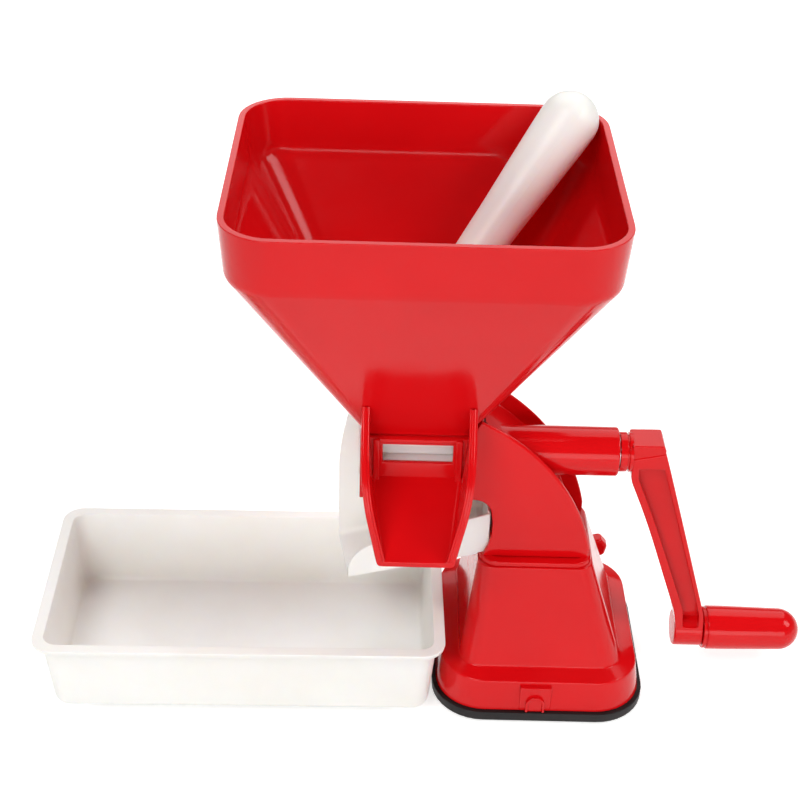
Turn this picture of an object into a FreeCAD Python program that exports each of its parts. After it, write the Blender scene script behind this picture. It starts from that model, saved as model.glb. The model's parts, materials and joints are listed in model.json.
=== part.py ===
import FreeCAD, Part
import math
import os
import re

import Sketcher

# Hand cranked tomato strainer on a suction base.
#
# Frame: origin under the middle of the suction pad, X towards the crank, Y to the back, Z up.
# All lengths are millimetres.  The shaft lies along X above the middle of the base, the hopper
# stands over the drum, the waste chute points to the front and the juice trough to the left.

DIMENSIONS = [
    # suction pad and base
    ("pad_rim_x", 2.2, "suction pad, how far it stands out from the plinth's sides"),
    ("pad_rim_y", 2.5, "suction pad, how far it stands out at the plinth's front and back"),
    ("pad_corner", 29.0, "suction pad, corner radius in plan"),
    ("pad_high", 7.5, "suction pad, thickness"),
    ("pad_bevel", 1.8, "bevel round the foot of the pad"),
    ("plinth_wide", 118.4, "plinth, size along X at its foot"),
    ("plinth_deep", 119.0, "plinth, size along Y at its foot"),
    ("plinth_corner", 27.5, "plinth, corner radius at its foot"),
    ("plinth_draft", 3.2, "plinth, how far each side leans in over its skirt"),
    ("plinth_top", 27.0, "height of the top of the plinth's skirt"),
    ("pyramid_foot", 30.0, "height where the pyramid starts"),
    ("pyramid_foot_wide", 92.0, "pyramid, size along X at its foot"),
    ("pyramid_foot_deep", 94.0, "pyramid, size along Y at its foot"),
    ("pyramid_foot_corner", 8.0, "pyramid, corner radius at its foot"),
    ("pyramid_top", 91.0, "height of the top of the pyramid"),
    ("pyramid_top_wide", 64.0, "pyramid, size along X at its top"),
    ("pyramid_top_deep", 60.0, "pyramid, size along Y at its top"),
    ("pyramid_top_shift", -6.0, "middle of the pyramid's top along X"),
    ("pyramid_top_corner", 6.0, "pyramid, corner radius at its top"),
    ("shell", 3.0, "wall of the plastic housings"),
    ("tab_left", -12.0, "front tab of the plinth, left side"),
    ("tab_wide", 18.0, "front tab of the plinth, width"),
    ("tab_stands", 2.0, "how far the front tab stands proud of the plinth"),
    ("tab_arch", 5.5, "outer radius of the arch on the front tab"),
    ("plate_thick", 3.0, "base plate, thickness"),
    ("plate_margin", 5.0, "from the plinth's inner wall to the base plate"),
    ("boss_inset", 12.7, "base screws, from the plinth's sides"),
    ("boss_place_y", 24.0, "base screws, distance from the middle along Y"),
    ("boss_radius", 4.5, "screw bosses, radius"),
    ("foot_boss_extra", 1.0, "foot screws' bosses, radius over the other bosses"),
    ("foot_screw_x", 16.0, "foot screws, distance from the middle of the pyramid's top along X"),
    ("foot_screw_y", 15.5, "foot screws, distance from the middle along Y"),
    ("screw_radius", 1.5, "screws, shank radius"),
    ("screw_head_radius", 3.3, "screws, head radius"),
    ("screw_head_high", 1.7, "screws, head height"),
    ("base_screw_long", 13.0, "base screws, length under the head"),
    ("foot_screw_long", 16.0, "foot screws, length under the head"),
    # suction lever
    ("cam_high", 18.5, "height of the lever's axis"),
    ("cam_radius", 4.0, "cam shaft, radius"),
    ("cam_throw", 2.2, "eccentric, distance from the axis"),
    ("cam_pin_radius", 3.0, "eccentric, radius"),
    ("cam_pin_long", 10.0, "eccentric, length"),
    ("cam_cheek_radius", 5.6, "cheeks of the eccentric, radius"),
    ("cam_cheek_thick", 2.0, "cheeks of the eccentric, thickness"),
    ("cam_rest_angle", -65.0, "eccentric above the horizontal when the pad is released"),
    ("cam_front", -26.0, "front end of the cam shaft"),
    ("groove_gap", 0.6, "from the front lug to the clip's groove"),
    ("groove_wide", 1.0, "clip groove, width"),
    ("groove_deep", 1.0, "clip groove, depth"),
    ("clip_thick", 0.8, "retaining clip, thickness"),
    ("clip_radius", 6.4, "retaining clip, outer radius"),
    ("lug_place", 19.0, "bearing lugs, distance of their middle from the stud"),
    ("lug_thick", 4.0, "bearing lugs, thickness"),
    ("lug_wide", 15.0, "bearing lugs, width"),
    ("disc_radius", 12.0, "stud disc, radius"),
    ("disc_thick", 2.4, "stud disc, thickness"),
    ("disc_floor", 3.0, "rubber under the stud disc"),
    ("eye_wide", 16.0, "eye of the stud, size along X"),
    ("eye_deep", 8.0, "eye of the stud, size along Y"),
    ("eye_top_wall", 3.4, "eye of the stud, wall over the slot"),
    ("lever_thick", 4.5, "suction lever, thickness"),
    ("lever_gap", 1.0, "between the plinth and the suction lever"),
    ("lever_hub", 8.0, "suction lever, hub radius"),
    ("lever_long", 45.0, "suction lever, from its axis to the middle of its knob"),
    ("lever_rise", 15.5, "suction lever, angle above the horizontal when released"),
    ("lever_wide", 9.0, "suction lever, width of its arm"),
    ("knob_long", 18.0, "lever knob, length along the arm"),
    ("knob_wide", 11.0, "lever knob, width across the arm"),
    ("knob_deep", 9.0, "lever knob, size along Y"),
    ("roll_pin", 1.25, "pin through lever and cam shaft, radius"),
    # machine body
    ("axis_high", 148.6, "height of the shaft"),
    ("hopper_mid_x", -75.8, "middle of the hopper and the drum along X"),
    ("hopper_mid_y", 17.0, "middle of the hopper's rim along Y"),
    ("neck_wide", 60.0, "neck of the hopper, size along X"),
    ("neck_deep", 47.0, "neck of the hopper and thickness of the body along Y"),
    ("neck_corner", 6.0, "neck of the hopper, corner radius"),
    ("neck_high", 174.0, "height where the hopper's slopes end"),
    ("chamber_top", 172.5, "height of the drum chamber's top"),
    ("chamber_wall", 2.6, "wall of the drum chamber"),
    ("chamber_bottom", 130.0, "height of the chamber's lower edge"),
    ("bulkhead", 3.5, "wall between the chamber and the horn"),
    ("horn_tip_high", 181.5, "height where the horn meets the hopper"),
    ("horn_radius", 122.9, "radius of the horn's curved edge"),
    ("horn_toe_x", 24.0, "foot of the horn, right side"),
    ("horn_toe_high", 97.0, "height where the horn's curved edge starts"),
    ("notch_x", -32.6, "notch for the trough, right side"),
    ("notch_foot_x", -36.5, "notch for the trough, at the foot of the horn"),
    ("notch_round", 10.0, "notch for the trough, radius at its top"),
    ("bow_radius", 43.0, "bow of the notch's edge, radius"),
    ("rim_deep", 3.0, "depth of the channel round the horn"),
    ("rim_thick", 2.6, "thickness of the horn's two side plates"),
    ("window_left", -94.8, "waste window, left side"),
    ("window_wide", 39.7, "waste window, width"),
    ("window_low", 155.0, "waste window, lower edge"),
    ("window_tall", 14.0, "waste window, height"),
    ("barrel_radius", 13.0, "barrel, radius"),
    ("barrel_end", 36.5, "barrel, right end"),
    ("bush_radius", 8.0, "bushes, outer radius"),
    ("bush_long", 12.0, "bushes, length"),
    ("bush_shoulder", 1.5, "barrel, height of the shoulder behind each bush"),
    ("shaft_radius", 5.0, "drive shaft, radius"),
    ("running_fit", 0.05, "clearance of shafts in their bushes, on the radius"),
    ("easy_fit", 0.3, "clearance between pieces that only pass each other"),
    ("overcut", 5.0, "how far a cut runs past the edge that it opens"),
    ("pilot_spare", 0.5, "screw holes, depth left past the screw"),
    ("seal_radius", 9.5, "shaft seal, outer radius"),
    ("seal_thick", 2.4, "shaft seal, thickness"),
    # hopper
    ("rim_high", 310.0, "height of the hopper's rim"),
    ("hopper_wide", 200.0, "hopper rim, size along X"),
    ("hopper_deep", 170.0, "hopper rim, size along Y"),
    ("hopper_corner", 27.0, "hopper rim, corner radius"),
    ("hopper_band", 30.0, "height of the upright band under the rim"),
    ("hopper_draft", 2.2, "how far the band leans in on each side"),
    ("hopper_wall", 3.6, "hopper, wall"),
    ("neck_wall", 2.4, "hopper neck, wall"),
    ("spigot_long", 4.5, "how far the hopper's neck reaches into the chamber"),
    # pressure flap
    ("flap_pin_in", 3.1, "flap pin, how far it lies behind the drum's front"),
    ("flap_pin_high", 175.0, "flap pin, height"),
    ("flap_pin_radius", 1.25, "flap pin, radius"),
    ("flap_knuckle", 2.3, "flap, radius round its pin"),
    ("flap_thick", 1.5, "flap, thickness"),
    ("flap_set_back", 1.0, "flap, how far its plate hangs in front of its pin"),
    ("flap_step", 0.4, "flap, from its knuckle down to the full width of its plate"),
    ("flap_tip_gap", 0.8, "between the flap's edge and the drum"),
    ("flap_side_gap", 2.4, "between the flap and the neck's side walls"),
    ("spring_wire", 0.35, "flap spring, wire radius"),
    ("spring_coil", 1.95, "flap spring, radius of its coil"),
    ("spring_turns", 5.0, "flap spring, turns"),
    ("spring_pitch", 0.95, "flap spring, pitch"),
    # waste chute
    ("chute_wide", 61.6, "waste chute, size along X"),
    ("chute_mid_x", -74.8, "waste chute, middle along X"),
    ("chute_gap", 0.3, "between the chamber's face and the chute's frame"),
    ("frame_thick", 3.4, "chute frame, thickness"),
    ("frame_low", 141.0, "height of the chute frame's lower edge"),
    ("slot_wide", 37.7, "slot in the chute frame, width"),
    ("slot_tall", 11.6, "slot in the chute frame, height"),
    ("slot_low", 156.4, "slot in the chute frame, lower edge"),
    ("floor_high", 147.0, "chute floor, height at the frame"),
    ("floor_back_wide", 48.6, "chute floor, width at the frame"),
    ("floor_lip_wide", 38.0, "chute floor, width at the lip"),
    ("lip_reach", 46.2, "from the chamber's face to the chute's lip"),
    ("lip_high", 122.6, "chute lip, height of the floor"),
    ("lip_edge", 0.4, "chute lip, height of its low upright edge"),
    ("lip_share", 0.28, "chute walls, share of their height and flare that is left at the lip"),
    ("elbow_reach", 38.5, "from the chamber's face to the elbow of the side walls"),
    ("elbow_high", 161.5, "height of the elbow of the side walls"),
    ("cheek_top_high", 196.5, "height of the top of the side walls"),
    ("chute_wall", 3.6, "waste chute, wall"),
    ("scraper_thick", 1.2, "scraper, thickness"),
    ("scraper_gap", 0.6, "between the scraper and the drum"),
    ("scraper_side", 0.2, "between the scraper's ends and the sides of its window"),
    # juice trough
    ("trough_wall", 1.6, "juice trough, wall"),
    ("trough_left", -118.5, "juice trough, left end"),
    ("trough_front_left", -111.6, "juice trough, left end of its front edge"),
    ("trough_right", -32.9, "juice trough, right end"),
    ("trough_low", 89.55, "height of the trough's bottom at its right end"),
    ("trough_low_x", -39.5, "place along X where the trough's bottom turns up"),
    ("trough_slope", 14.7, "slope of the trough's bottom, degrees"),
    ("trough_depth", 29.0, "height of the trough's front wall"),
    ("trough_back_high", 165.0, "height of the trough's back wall"),
    ("guard_lean", 5.0, "guard on the trough's back wall, how far its left edge leans in"),
    ("trough_sill", 0.5, "trough's front wall, height left at its round end's foot"),
    ("trough_cut", 22.0, "radius of the left end of the trough's front wall"),
    ("trough_cut_high", 23.8, "trough's front wall, height where its round left end stops"),
    ("trough_cut_long", 13.6, "trough's front wall, length of its round left end"),
    # drum and shaft
    ("drum_radius", 18.5, "drum, radius"),
    ("drum_wall", 1.6, "drum, wall"),
    ("drum_end_gap", 0.4, "between the drum and the chamber's end walls"),
    ("collar_radius", 16.0, "collar of the drum in the left wall, radius"),
    ("collar_out", 1.0, "how far the drum's collar stands out of the chamber"),
    ("hole_long", 3.2, "drum slots, length"),
    ("hole_wide", 1.1, "drum slots, width"),
    ("hole_pitch", 5.6, "drum slots, spacing along the drum"),
    ("hole_rows", 8.0, "drum slots in one row"),
    ("hole_rings", 20.0, "rows of slots round the drum"),
    ("hub_disc", 3.0, "drum hub, thickness of its disc"),
    ("hub_radius", 9.0, "drum hub, radius of its boss"),
    ("hub_long", 13.0, "drum hub, length of its boss"),
    ("hub_cap", 2.5, "drum hub, thickness of its closed end"),
    ("square_side", 7.0, "square ends of the shaft, side"),
    ("washer_thick", 0.6, "thrust washer, thickness"),
    ("washer_radius", 9.6, "thrust washer, outer radius"),
    # crank
    ("crank_radius", 127.2, "crank, from the shaft to the grip's axis"),
    ("crank_neck_radius", 10.5, "crank, radius of the neck beside the barrel"),
    ("crank_groove", 1.3, "crank neck, depth of its groove"),
    ("crank_hub_left", 43.5, "crank hub, left end"),
    ("crank_hub_right", 63.4, "crank hub, right end"),
    ("crank_hub_radius", 11.5, "crank hub, radius"),
    ("arm_deep", 19.0, "crank arm, size along Y"),
    ("arm_web", 4.0, "crank arm, thickness of its web"),
    ("arm_flange", 3.0, "crank arm, thickness of its flanges"),
    ("arm_bend_low", 42.3, "crank arm, how far its bend lies under the shaft"),
    ("arm_bend_left", 12.6, "crank arm, how far its left side moves out down to the bend"),
    ("arm_bend_right", 13.0, "crank arm, how far its right side moves out down to the bend"),
    ("arm_ankle", 19.1, "crank arm, height over the grip's axis where it meets its foot"),
    ("arm_ankle_left", 1.2, "crank arm, how far its left side stands out there"),
    ("arm_ankle_right", 1.6, "crank arm, how far its right side stands in there"),
    ("arm_wall", 3.2, "crank arm, level thickness of its slanting flanges"),
    ("arm_pocket_top", 16.0, "crank arm, how far the top of its pockets lies under the shaft"),
    ("arm_foot_left", 80.8, "crank foot, left end"),
    ("arm_foot_right", 99.4, "crank foot, right end"),
    ("arm_foot_radius", 11.3, "crank foot, radius"),
    ("grip_gap", 0.5, "between the crank's foot and the grip"),
    ("grip_end", 158.2, "grip, right end"),
    ("grip_radius", 12.5, "grip, radius"),
    ("grip_collar_long", 2.8, "grip's collar, length"),
    ("grip_collar", 0.5, "how far the grip's collar is smaller than the grip"),
    ("axle_radius", 3.5, "grip axle, radius"),
    ("axle_end", 147.0, "grip axle, right end of its shank"),
    ("axle_head", 5.0, "grip axle, head radius"),
    ("axle_head_thick", 2.5, "grip axle, head thickness"),
    ("crank_bevel", 1.5, "crank hub, bevel at its outer end"),
    ("groove_place", 1.6, "crank neck, from its groove to the hub"),
    ("groove_long", 1.8, "crank neck, width of its groove"),
    ("end_play", 0.15, "play on each side of the thrust washer"),
    ("crank_screw_seat", 3.6, "crank hub, depth of the screw's seat"),
    ("shaft_short", 2.4, "from the crank screw's seat to the end of the shaft"),
    ("crank_screw_head_high", 3.0, "crank screw, head height"),
    ("crank_screw_head", 4.5, "crank screw, head radius"),
    ("crank_screw_shank", 2.3, "crank screw, shank radius"),
    # tray
    ("tray_long", 230.0, "tray rim, size along X"),
    ("tray_deep", 130.0, "tray rim, size along Y"),
    ("tray_high", 55.0, "tray, height"),
    ("tray_corner", 12.0, "tray rim, corner radius"),
    ("tray_flange", 4.5, "width of the tray's flange"),
    ("tray_flange_thick", 2.6, "thickness of the tray's flange"),
    ("tray_taper_x", 3.5, "how far the tray's ends lean in"),
    ("tray_taper_y", 5.0, "how far the tray's sides lean in"),
    ("tray_wall", 2.2, "tray, wall"),
    ("tray_foot", 6.0, "tray feet, height"),
    ("tray_foot_wide", 13.0, "tray feet, size along X"),
    ("tray_foot_deep", 11.0, "tray feet, size along Y"),
    ("tray_foot_inset", 7.5, "from the tray's bottom edge to its feet"),
    ("tray_out", 112.5, "from the plinth's left side to the middle of the tray"),
    ("tray_mid_y", -5.2, "middle of the tray along Y"),
    ("tray_turn", 0.95, "turn of the tray about Z, degrees"),
    # pusher
    ("pusher_long", 190.0, "pusher, length"),
    ("pusher_head", 16.25, "pusher, radius of its round head"),
    ("pusher_waist", 11.5, "pusher, radius of its waist"),
    ("pusher_waist_high", 68.0, "pusher, height of its waist over its foot"),
    ("pusher_foot_wide", 43.0, "pusher foot, width"),
    ("pusher_foot_deep", 35.0, "pusher foot, depth"),
    ("pusher_foot_corner", 8.0, "pusher foot, corner radius"),
    ("pusher_foot_high", 36.0, "pusher foot, height of its straight part"),
    ("pusher_low", 8.0, "pusher's flare, height of its lower section over the straight part"),
    ("pusher_low_wide", 33.5, "pusher's flare, width of its lower section"),
    ("pusher_low_deep", 30.1, "pusher's flare, depth of its lower section"),
    ("pusher_low_corner", 9.8, "pusher's flare, corner radius of its lower section"),
    ("pusher_mid", 18.0, "pusher's flare, height of its upper section over the straight part"),
    ("pusher_mid_wide", 26.7, "pusher's flare, width of its upper section"),
    ("pusher_mid_deep", 25.5, "pusher's flare, depth of its upper section"),
    ("pusher_mid_corner", 10.9, "pusher's flare, corner radius of its upper section"),
    ("pusher_foot_left", 17.94, "from the hopper's middle to the middle of the pusher's foot, along X"),
    ("pusher_foot_y", 1.15, "middle of the pusher's foot along Y"),
    ("pusher_foot_up", 0.138, "height of the pusher's foot in the funnel, as a share of its height"),
    ("pusher_rest_x", 8.8, "from the rim's right side to the pusher's rest in its back corner"),
    ("pusher_rest_y", 12.26, "from the rim's back side to the pusher's rest in its back corner"),
    ("pusher_axis_off", 3.782, "pusher's axis, degrees over the line from its foot to its rest"),
]

DOC = FreeCAD.newDocument("TomatoStrainer")
SHEET = DOC.addObject("Spreadsheet::Sheet", "Dims")
ALIASES = {alias for alias, number, meaning in DIMENSIONS}
PARTS = []


def fill_sheet():
    """Writes each driving dimension into the sheet with its alias and its meaning."""
    for row, (alias, number, meaning) in enumerate(DIMENSIONS, start=1):
        SHEET.set("A%d" % row, meaning)
        SHEET.set("B%d" % row, str(number))
        SHEET.setAlias("B%d" % row, alias)
    DOC.recompute()


def dims(text):
    """An expression over the sheet, from one that names its aliases alone."""
    return re.sub(r"[a-z_]+", lambda m: "Dims." + m[0] if m[0] in ALIASES else m[0], str(text))


def size(text):
    """The present value of an expression over the sheet."""
    return float(SHEET.evalExpression(dims(text)))


# Places that several pieces share, as expressions over the sheet.
BOSS_X = "(plinth_wide / 2 - boss_inset)"
PLINTH_INNER_X = "(plinth_wide / 2 - shell)"
PLINTH_INNER_Y = "(plinth_deep / 2 - shell)"
PLATE_TOP = "(pad_high + plate_thick)"
PYRAMID_LEFT = "(pyramid_top_shift - pyramid_top_wide / 2)"
GROOVE_FRONT = "(-lug_place - lug_thick / 2 - groove_gap - groove_wide)"
LEVER_FRONT = "(plinth_deep / 2 + lever_gap)"
LEVER_BACK = "(plinth_deep / 2 + lever_gap + lever_thick)"
CHAMBER_LEFT = "(hopper_mid_x - neck_wide / 2)"
CHAMBER_RIGHT = "(hopper_mid_x + neck_wide / 2)"
CHAMBER_INNER_LEFT = "(hopper_mid_x - neck_wide / 2 + chamber_wall)"
CHAMBER_INNER_RIGHT = "(hopper_mid_x + neck_wide / 2 - chamber_wall)"
CHAMBER_INNER_Y = "(neck_deep / 2 - chamber_wall)"
BULKHEAD_RIGHT = "(hopper_mid_x + neck_wide / 2 - chamber_wall + bulkhead)"
FACE_Y = "(-neck_deep / 2)"
BAND_HIGH = "(rim_high - hopper_band)"
FUNNEL_RUN_X = "(hopper_wide / 2 - hopper_draft - neck_wide / 2)"
FUNNEL_RUN_Y = "(hopper_deep / 2 - hopper_draft - neck_deep / 2 - hopper_mid_y)"
FUNNEL_RISE = "(rim_high - hopper_band - neck_high)"
FRAME_BACK = "(-neck_deep / 2 - chute_gap)"
FRAME_FRONT = "(-neck_deep / 2 - chute_gap - frame_thick)"
CHUTE_LEFT = "(chute_mid_x - chute_wide / 2)"
CHUTE_RIGHT = "(chute_mid_x + chute_wide / 2)"
TROUGH_Y = "(neck_deep / 2 - rim_thick - easy_fit)"
DRUM_LEFT = "(hopper_mid_x - neck_wide / 2 + chamber_wall + drum_end_gap)"
DRUM_RIGHT = "(hopper_mid_x + neck_wide / 2 - chamber_wall - drum_end_gap)"
SPIGOT_X = "(neck_wide / 2 - chamber_wall - easy_fit)"
SPIGOT_Y = "(neck_deep / 2 - chamber_wall - easy_fit)"
NECK_LEFT = "(hopper_mid_x - neck_wide / 2 + chamber_wall + easy_fit + neck_wall)"
NECK_RIGHT = "(hopper_mid_x + neck_wide / 2 - chamber_wall - easy_fit - neck_wall)"
GRIP_LEFT = "(arm_foot_right + grip_gap)"
FLAP_PIN_Y = "(flap_pin_in - drum_radius)"
PUSHER_X = "(hopper_mid_x - pusher_foot_left)"
PUSHER_Z = "(neck_high + %s * pusher_foot_up)" % FUNNEL_RISE
SHAFT_END = "(crank_hub_right - crank_screw_seat - shaft_short)"


# ---------------------------------------------------------------- drawing helpers

def new_body(name):
    """An empty body that becomes one node."""
    body = DOC.addObject("PartDesign::Body", name)
    body.Label = name
    PARTS.append(body)
    return body


def place(body, x="0", y="0", z="0"):
    """Ties the body's place to the sheet."""
    body.setExpression("Placement.Base.x", dims(x))
    body.setExpression("Placement.Base.y", dims(y))
    body.setExpression("Placement.Base.z", dims(z))


def sketch_at(body, axis, station):
    """An empty sketch square to an axis, at a station along it, on the body's own plane."""
    role = {"x": "YZ_Plane", "y": "XZ_Plane", "z": "XY_Plane"}[axis]
    sign = {"x": "", "y": "-", "z": ""}[axis]
    plane = [feature for feature in body.Origin.OriginFeatures if feature.Role == role][0]
    sketch = body.newObject("Sketcher::SketchObject", body.Name + "_sketch")
    sketch.AttachmentSupport = (plane, [""])
    sketch.MapMode = "FlatFace"
    sketch.setExpression("AttachmentOffset.Base.z", dims("%s(%s)" % (sign, station)))
    return sketch


def fix(sketch, kind, *where_and_size):
    """Adds one constraint whose size is tied to the sheet."""
    *where, text = where_and_size
    number = sketch.addConstraint(Sketcher.Constraint(kind, *where, size(text)))
    sketch.setExpression("Constraints[%d]" % number, dims(text))


def draw_circle(sketch, x, y, radius):
    """A circle with its centre and radius tied to the sheet."""
    centre = FreeCAD.Vector(size(x), size(y), 0)
    edge = sketch.addGeometry(Part.Circle(centre, FreeCAD.Vector(0, 0, 1), size(radius)))
    fix(sketch, "DistanceX", -1, 1, edge, 3, x)
    fix(sketch, "DistanceY", -1, 1, edge, 3, y)
    fix(sketch, "Radius", edge, radius)


def arc_between(start, end, radius):
    """The short arc from start to end, to the left-hand side for a positive radius."""
    half = (end - start) * 0.5
    reach = math.sqrt(max(radius * radius - half.Length * half.Length, 0.0))
    side = FreeCAD.Vector(-half.y, half.x, 0).normalize() * math.copysign(reach, radius)
    centre = start + half + side
    first, last = (start, end) if radius > 0 else (end, start)
    angles = [math.atan2(point.y - centre.y, point.x - centre.x) for point in (first, last)]
    circle = Part.Circle(centre, FreeCAD.Vector(0, 0, 1), abs(radius))
    return Part.ArcOfCircle(circle, angles[0], angles[1])


def draw_outline(sketch, corners):
    """A closed outline: each corner is (x, y), or (x, y, radius) where an arc leaves it."""
    points = [FreeCAD.Vector(size(corner[0]), size(corner[1]), 0) for corner in corners]
    edges = []
    for number, corner in enumerate(corners):
        start = points[number]
        end = points[(number + 1) % len(corners)]
        if len(corner) == 3:
            radius = size(corner[2])
            edge = sketch.addGeometry(arc_between(start, end, radius))
            first, last = (1, 2) if radius > 0 else (2, 1)
            fix(sketch, "Radius", edge, "abs(%s)" % corner[2])
        else:
            edge = sketch.addGeometry(Part.LineSegment(start, end))
            first, last = 1, 2
        fix(sketch, "DistanceX", -1, 1, edge, first, corner[0])
        fix(sketch, "DistanceY", -1, 1, edge, first, corner[1])
        edges.append((edge, first, last))
    for (edge, first, last), (next_edge, next_first, next_last) in zip(edges, edges[1:] + edges[:1]):
        sketch.addConstraint(Sketcher.Constraint("Coincident", edge, last, next_edge, next_first))


def draw(sketch, loops):
    """Draws each loop: a circle is a tuple (x, y, radius) and an outline a list of corners."""
    for loop in loops:
        if isinstance(loop, tuple):
            draw_circle(sketch, *loop)
        else:
            draw_outline(sketch, loop)


def rectangle(low_x, high_x, low_y, high_y):
    """Corners of a plain rectangle."""
    return [(low_x, low_y), (high_x, low_y), (high_x, high_y), (low_x, high_y)]


def rounded(low_x, high_x, low_y, high_y, radius):
    """Corners of a rectangle with round corners."""
    left, right = "%s + %s" % (low_x, radius), "%s - %s" % (high_x, radius)
    front, back = "%s + %s" % (low_y, radius), "%s - %s" % (high_y, radius)
    return [
        (right, low_y, radius), (high_x, front),
        (high_x, back, radius), (right, high_y),
        (left, high_y, radius), (low_x, back),
        (low_x, front, radius), (left, low_y),
    ]


def arched(middle, half, low, spring):
    """Corners of an upright plate with a half round top."""
    left, right = "%s - %s" % (middle, half), "%s + %s" % (middle, half)
    return [(left, low), (right, low), (right, spring, half), (middle, "%s + %s" % (spring, half), half),
            (left, spring)]


def centred(wide, deep, radius, mid_x="0", mid_y="0"):
    """Corners of a round-cornered rectangle about a middle, from its half sizes."""
    return rounded(
        "%s - (%s)" % (mid_x, wide), "%s + (%s)" % (mid_x, wide),
        "%s - (%s)" % (mid_y, deep), "%s + (%s)" % (mid_y, deep), radius,
    )


def slab(body, axis, low, high, *loops):
    """Material inside the loops, from low to high along an axis."""
    sketch = sketch_at(body, axis, high if axis == "y" else low)
    draw(sketch, loops)
    pad = body.newObject("PartDesign::Pad", body.Name + "_slab")
    pad.Profile = sketch
    pad.setExpression("Length", dims("(%s) - (%s)" % (high, low)))
    DOC.recompute()
    return pad


def cut(body, axis, low, high, *loops):
    """Takes away the material inside the loops, from low to high along an axis."""
    before = body.Shape.Volume
    sketch = sketch_at(body, axis, low if axis == "y" else high)
    draw(sketch, loops)
    pocket = body.newObject("PartDesign::Pocket", body.Name + "_cut")
    pocket.Profile = sketch
    pocket.setExpression("Length", dims("(%s) - (%s)" % (high, low)))
    DOC.recompute()
    if not body.Shape.Volume < before:
        raise RuntimeError("a cut in %s took nothing away" % body.Label)
    return pocket


def loft(body, kind, axis, stations):
    """A straight-sided loft, added or taken away, through (station, loop) pairs."""
    sketches = []
    for station, loop in stations:
        sketch = sketch_at(body, axis, station)
        draw(sketch, [loop])
        sketches.append(sketch)
    DOC.recompute()
    feature = body.newObject("PartDesign::%sLoft" % kind, body.Name + "_loft")
    feature.Profile = sketches[0]
    feature.Sections = sketches[1:]
    feature.Ruled = True
    DOC.recompute()
    return feature


def turned(body, axis, outline):
    """A turned piece about its own x or z axis: the outline gives (along, radius) corners."""
    sketch = sketch_at(body, "y", "0")
    if axis == "z":
        outline = [(corner[1], corner[0]) + corner[2:] for corner in outline]
    draw(sketch, [outline])
    revolution = body.newObject("PartDesign::Revolution", body.Name + "_turned")
    revolution.Profile = sketch
    revolution.ReferenceAxis = (sketch, ["V_Axis" if axis == "z" else "H_Axis"])
    revolution.Angle = 360
    DOC.recompute()
    return revolution


def ring(body, low, high, inner, outer):
    """A plain ring about the body's own x axis."""
    turned(body, "x", rectangle(low, high, inner, outer))


# ---------------------------------------------------------------- suction base

def make_suction_pad():
    """Rubber mat with a bevelled foot and a pocket for the stud's disc."""
    body = new_body("suction_pad")
    half_x, half_y = "plinth_wide / 2 + pad_rim_x", "plinth_deep / 2 + pad_rim_y"
    foot = centred(half_x + " - pad_bevel", half_y + " - pad_bevel", "(pad_corner - pad_bevel)")
    full = centred(half_x, half_y, "pad_corner")
    loft(body, "Additive", "z", [("0", foot), ("pad_bevel", full), ("pad_high", full)])
    cut(body, "z", "disc_floor", "pad_high", ("0", "0", "disc_radius + easy_fit"))


def make_pad_stud():
    """Steel disc that the rubber grips, with an eye for the eccentric."""
    body = new_body("pad_stud")
    bottom = "(disc_floor + easy_fit / 2)"
    top = "(disc_floor + easy_fit / 2 + disc_thick)"
    swing = "(cam_pin_radius + easy_fit)"
    low = "(cam_high + cam_throw * sin(cam_rest_angle * 1 deg) - %s)" % swing
    high = "(cam_high + cam_throw * sin(cam_rest_angle * 1 deg) + %s)" % swing
    reach = "(cam_throw + %s)" % swing
    slab(body, "z", bottom, top, ("0", "0", "disc_radius"))
    slab(body, "z", top, "%s + eye_top_wall" % high,
         rectangle("-eye_wide / 2", "eye_wide / 2", "-eye_deep / 2", "eye_deep / 2"))
    cut(body, "y", "-eye_deep / 2", "eye_deep / 2", rectangle("-" + reach, reach, low, high))


def make_base_plate():
    """Plate that backs the rubber and carries the two bearing lugs of the cam shaft."""
    body = new_body("base_plate")
    slab(body, "z", "pad_high", PLATE_TOP,
         centred(PLINTH_INNER_X + " - plate_margin", PLINTH_INNER_Y + " - plate_margin",
                 "(plinth_corner - shell - plate_margin)"))
    cut(body, "z", "pad_high", PLATE_TOP, ("0", "0", "disc_radius + 2 * easy_fit"))
    lug = arched("0", "(lug_wide / 2)", "pad_high + plate_thick / 2", "cam_high")
    for side in ("-lug_place", "lug_place"):
        slab(body, "y", side + " - lug_thick / 2", side + " + lug_thick / 2", lug)
        cut(body, "y", side + " - lug_thick / 2", side + " + lug_thick / 2",
            ("0", "cam_high", "cam_radius + running_fit"))
    holes = [(x, y, "screw_radius + easy_fit") for x, y in screw_places(BOSS_X, "boss_place_y")]
    seats = [(x, y, "screw_head_radius + easy_fit") for x, y in screw_places(BOSS_X, "boss_place_y")]
    cut(body, "z", "pad_high", PLATE_TOP, *holes)
    cut(body, "z", "pad_high", "pad_high + screw_head_high + easy_fit / 2", *seats)


def screw_places(x, y, mid_x="0"):
    """The four places of a rectangular screw pattern."""
    return [("%s %s %s" % (mid_x, side_x, x), "%s%s" % (side_y, y))
            for side_x in "-+" for side_y in ("-", "")]


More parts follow.
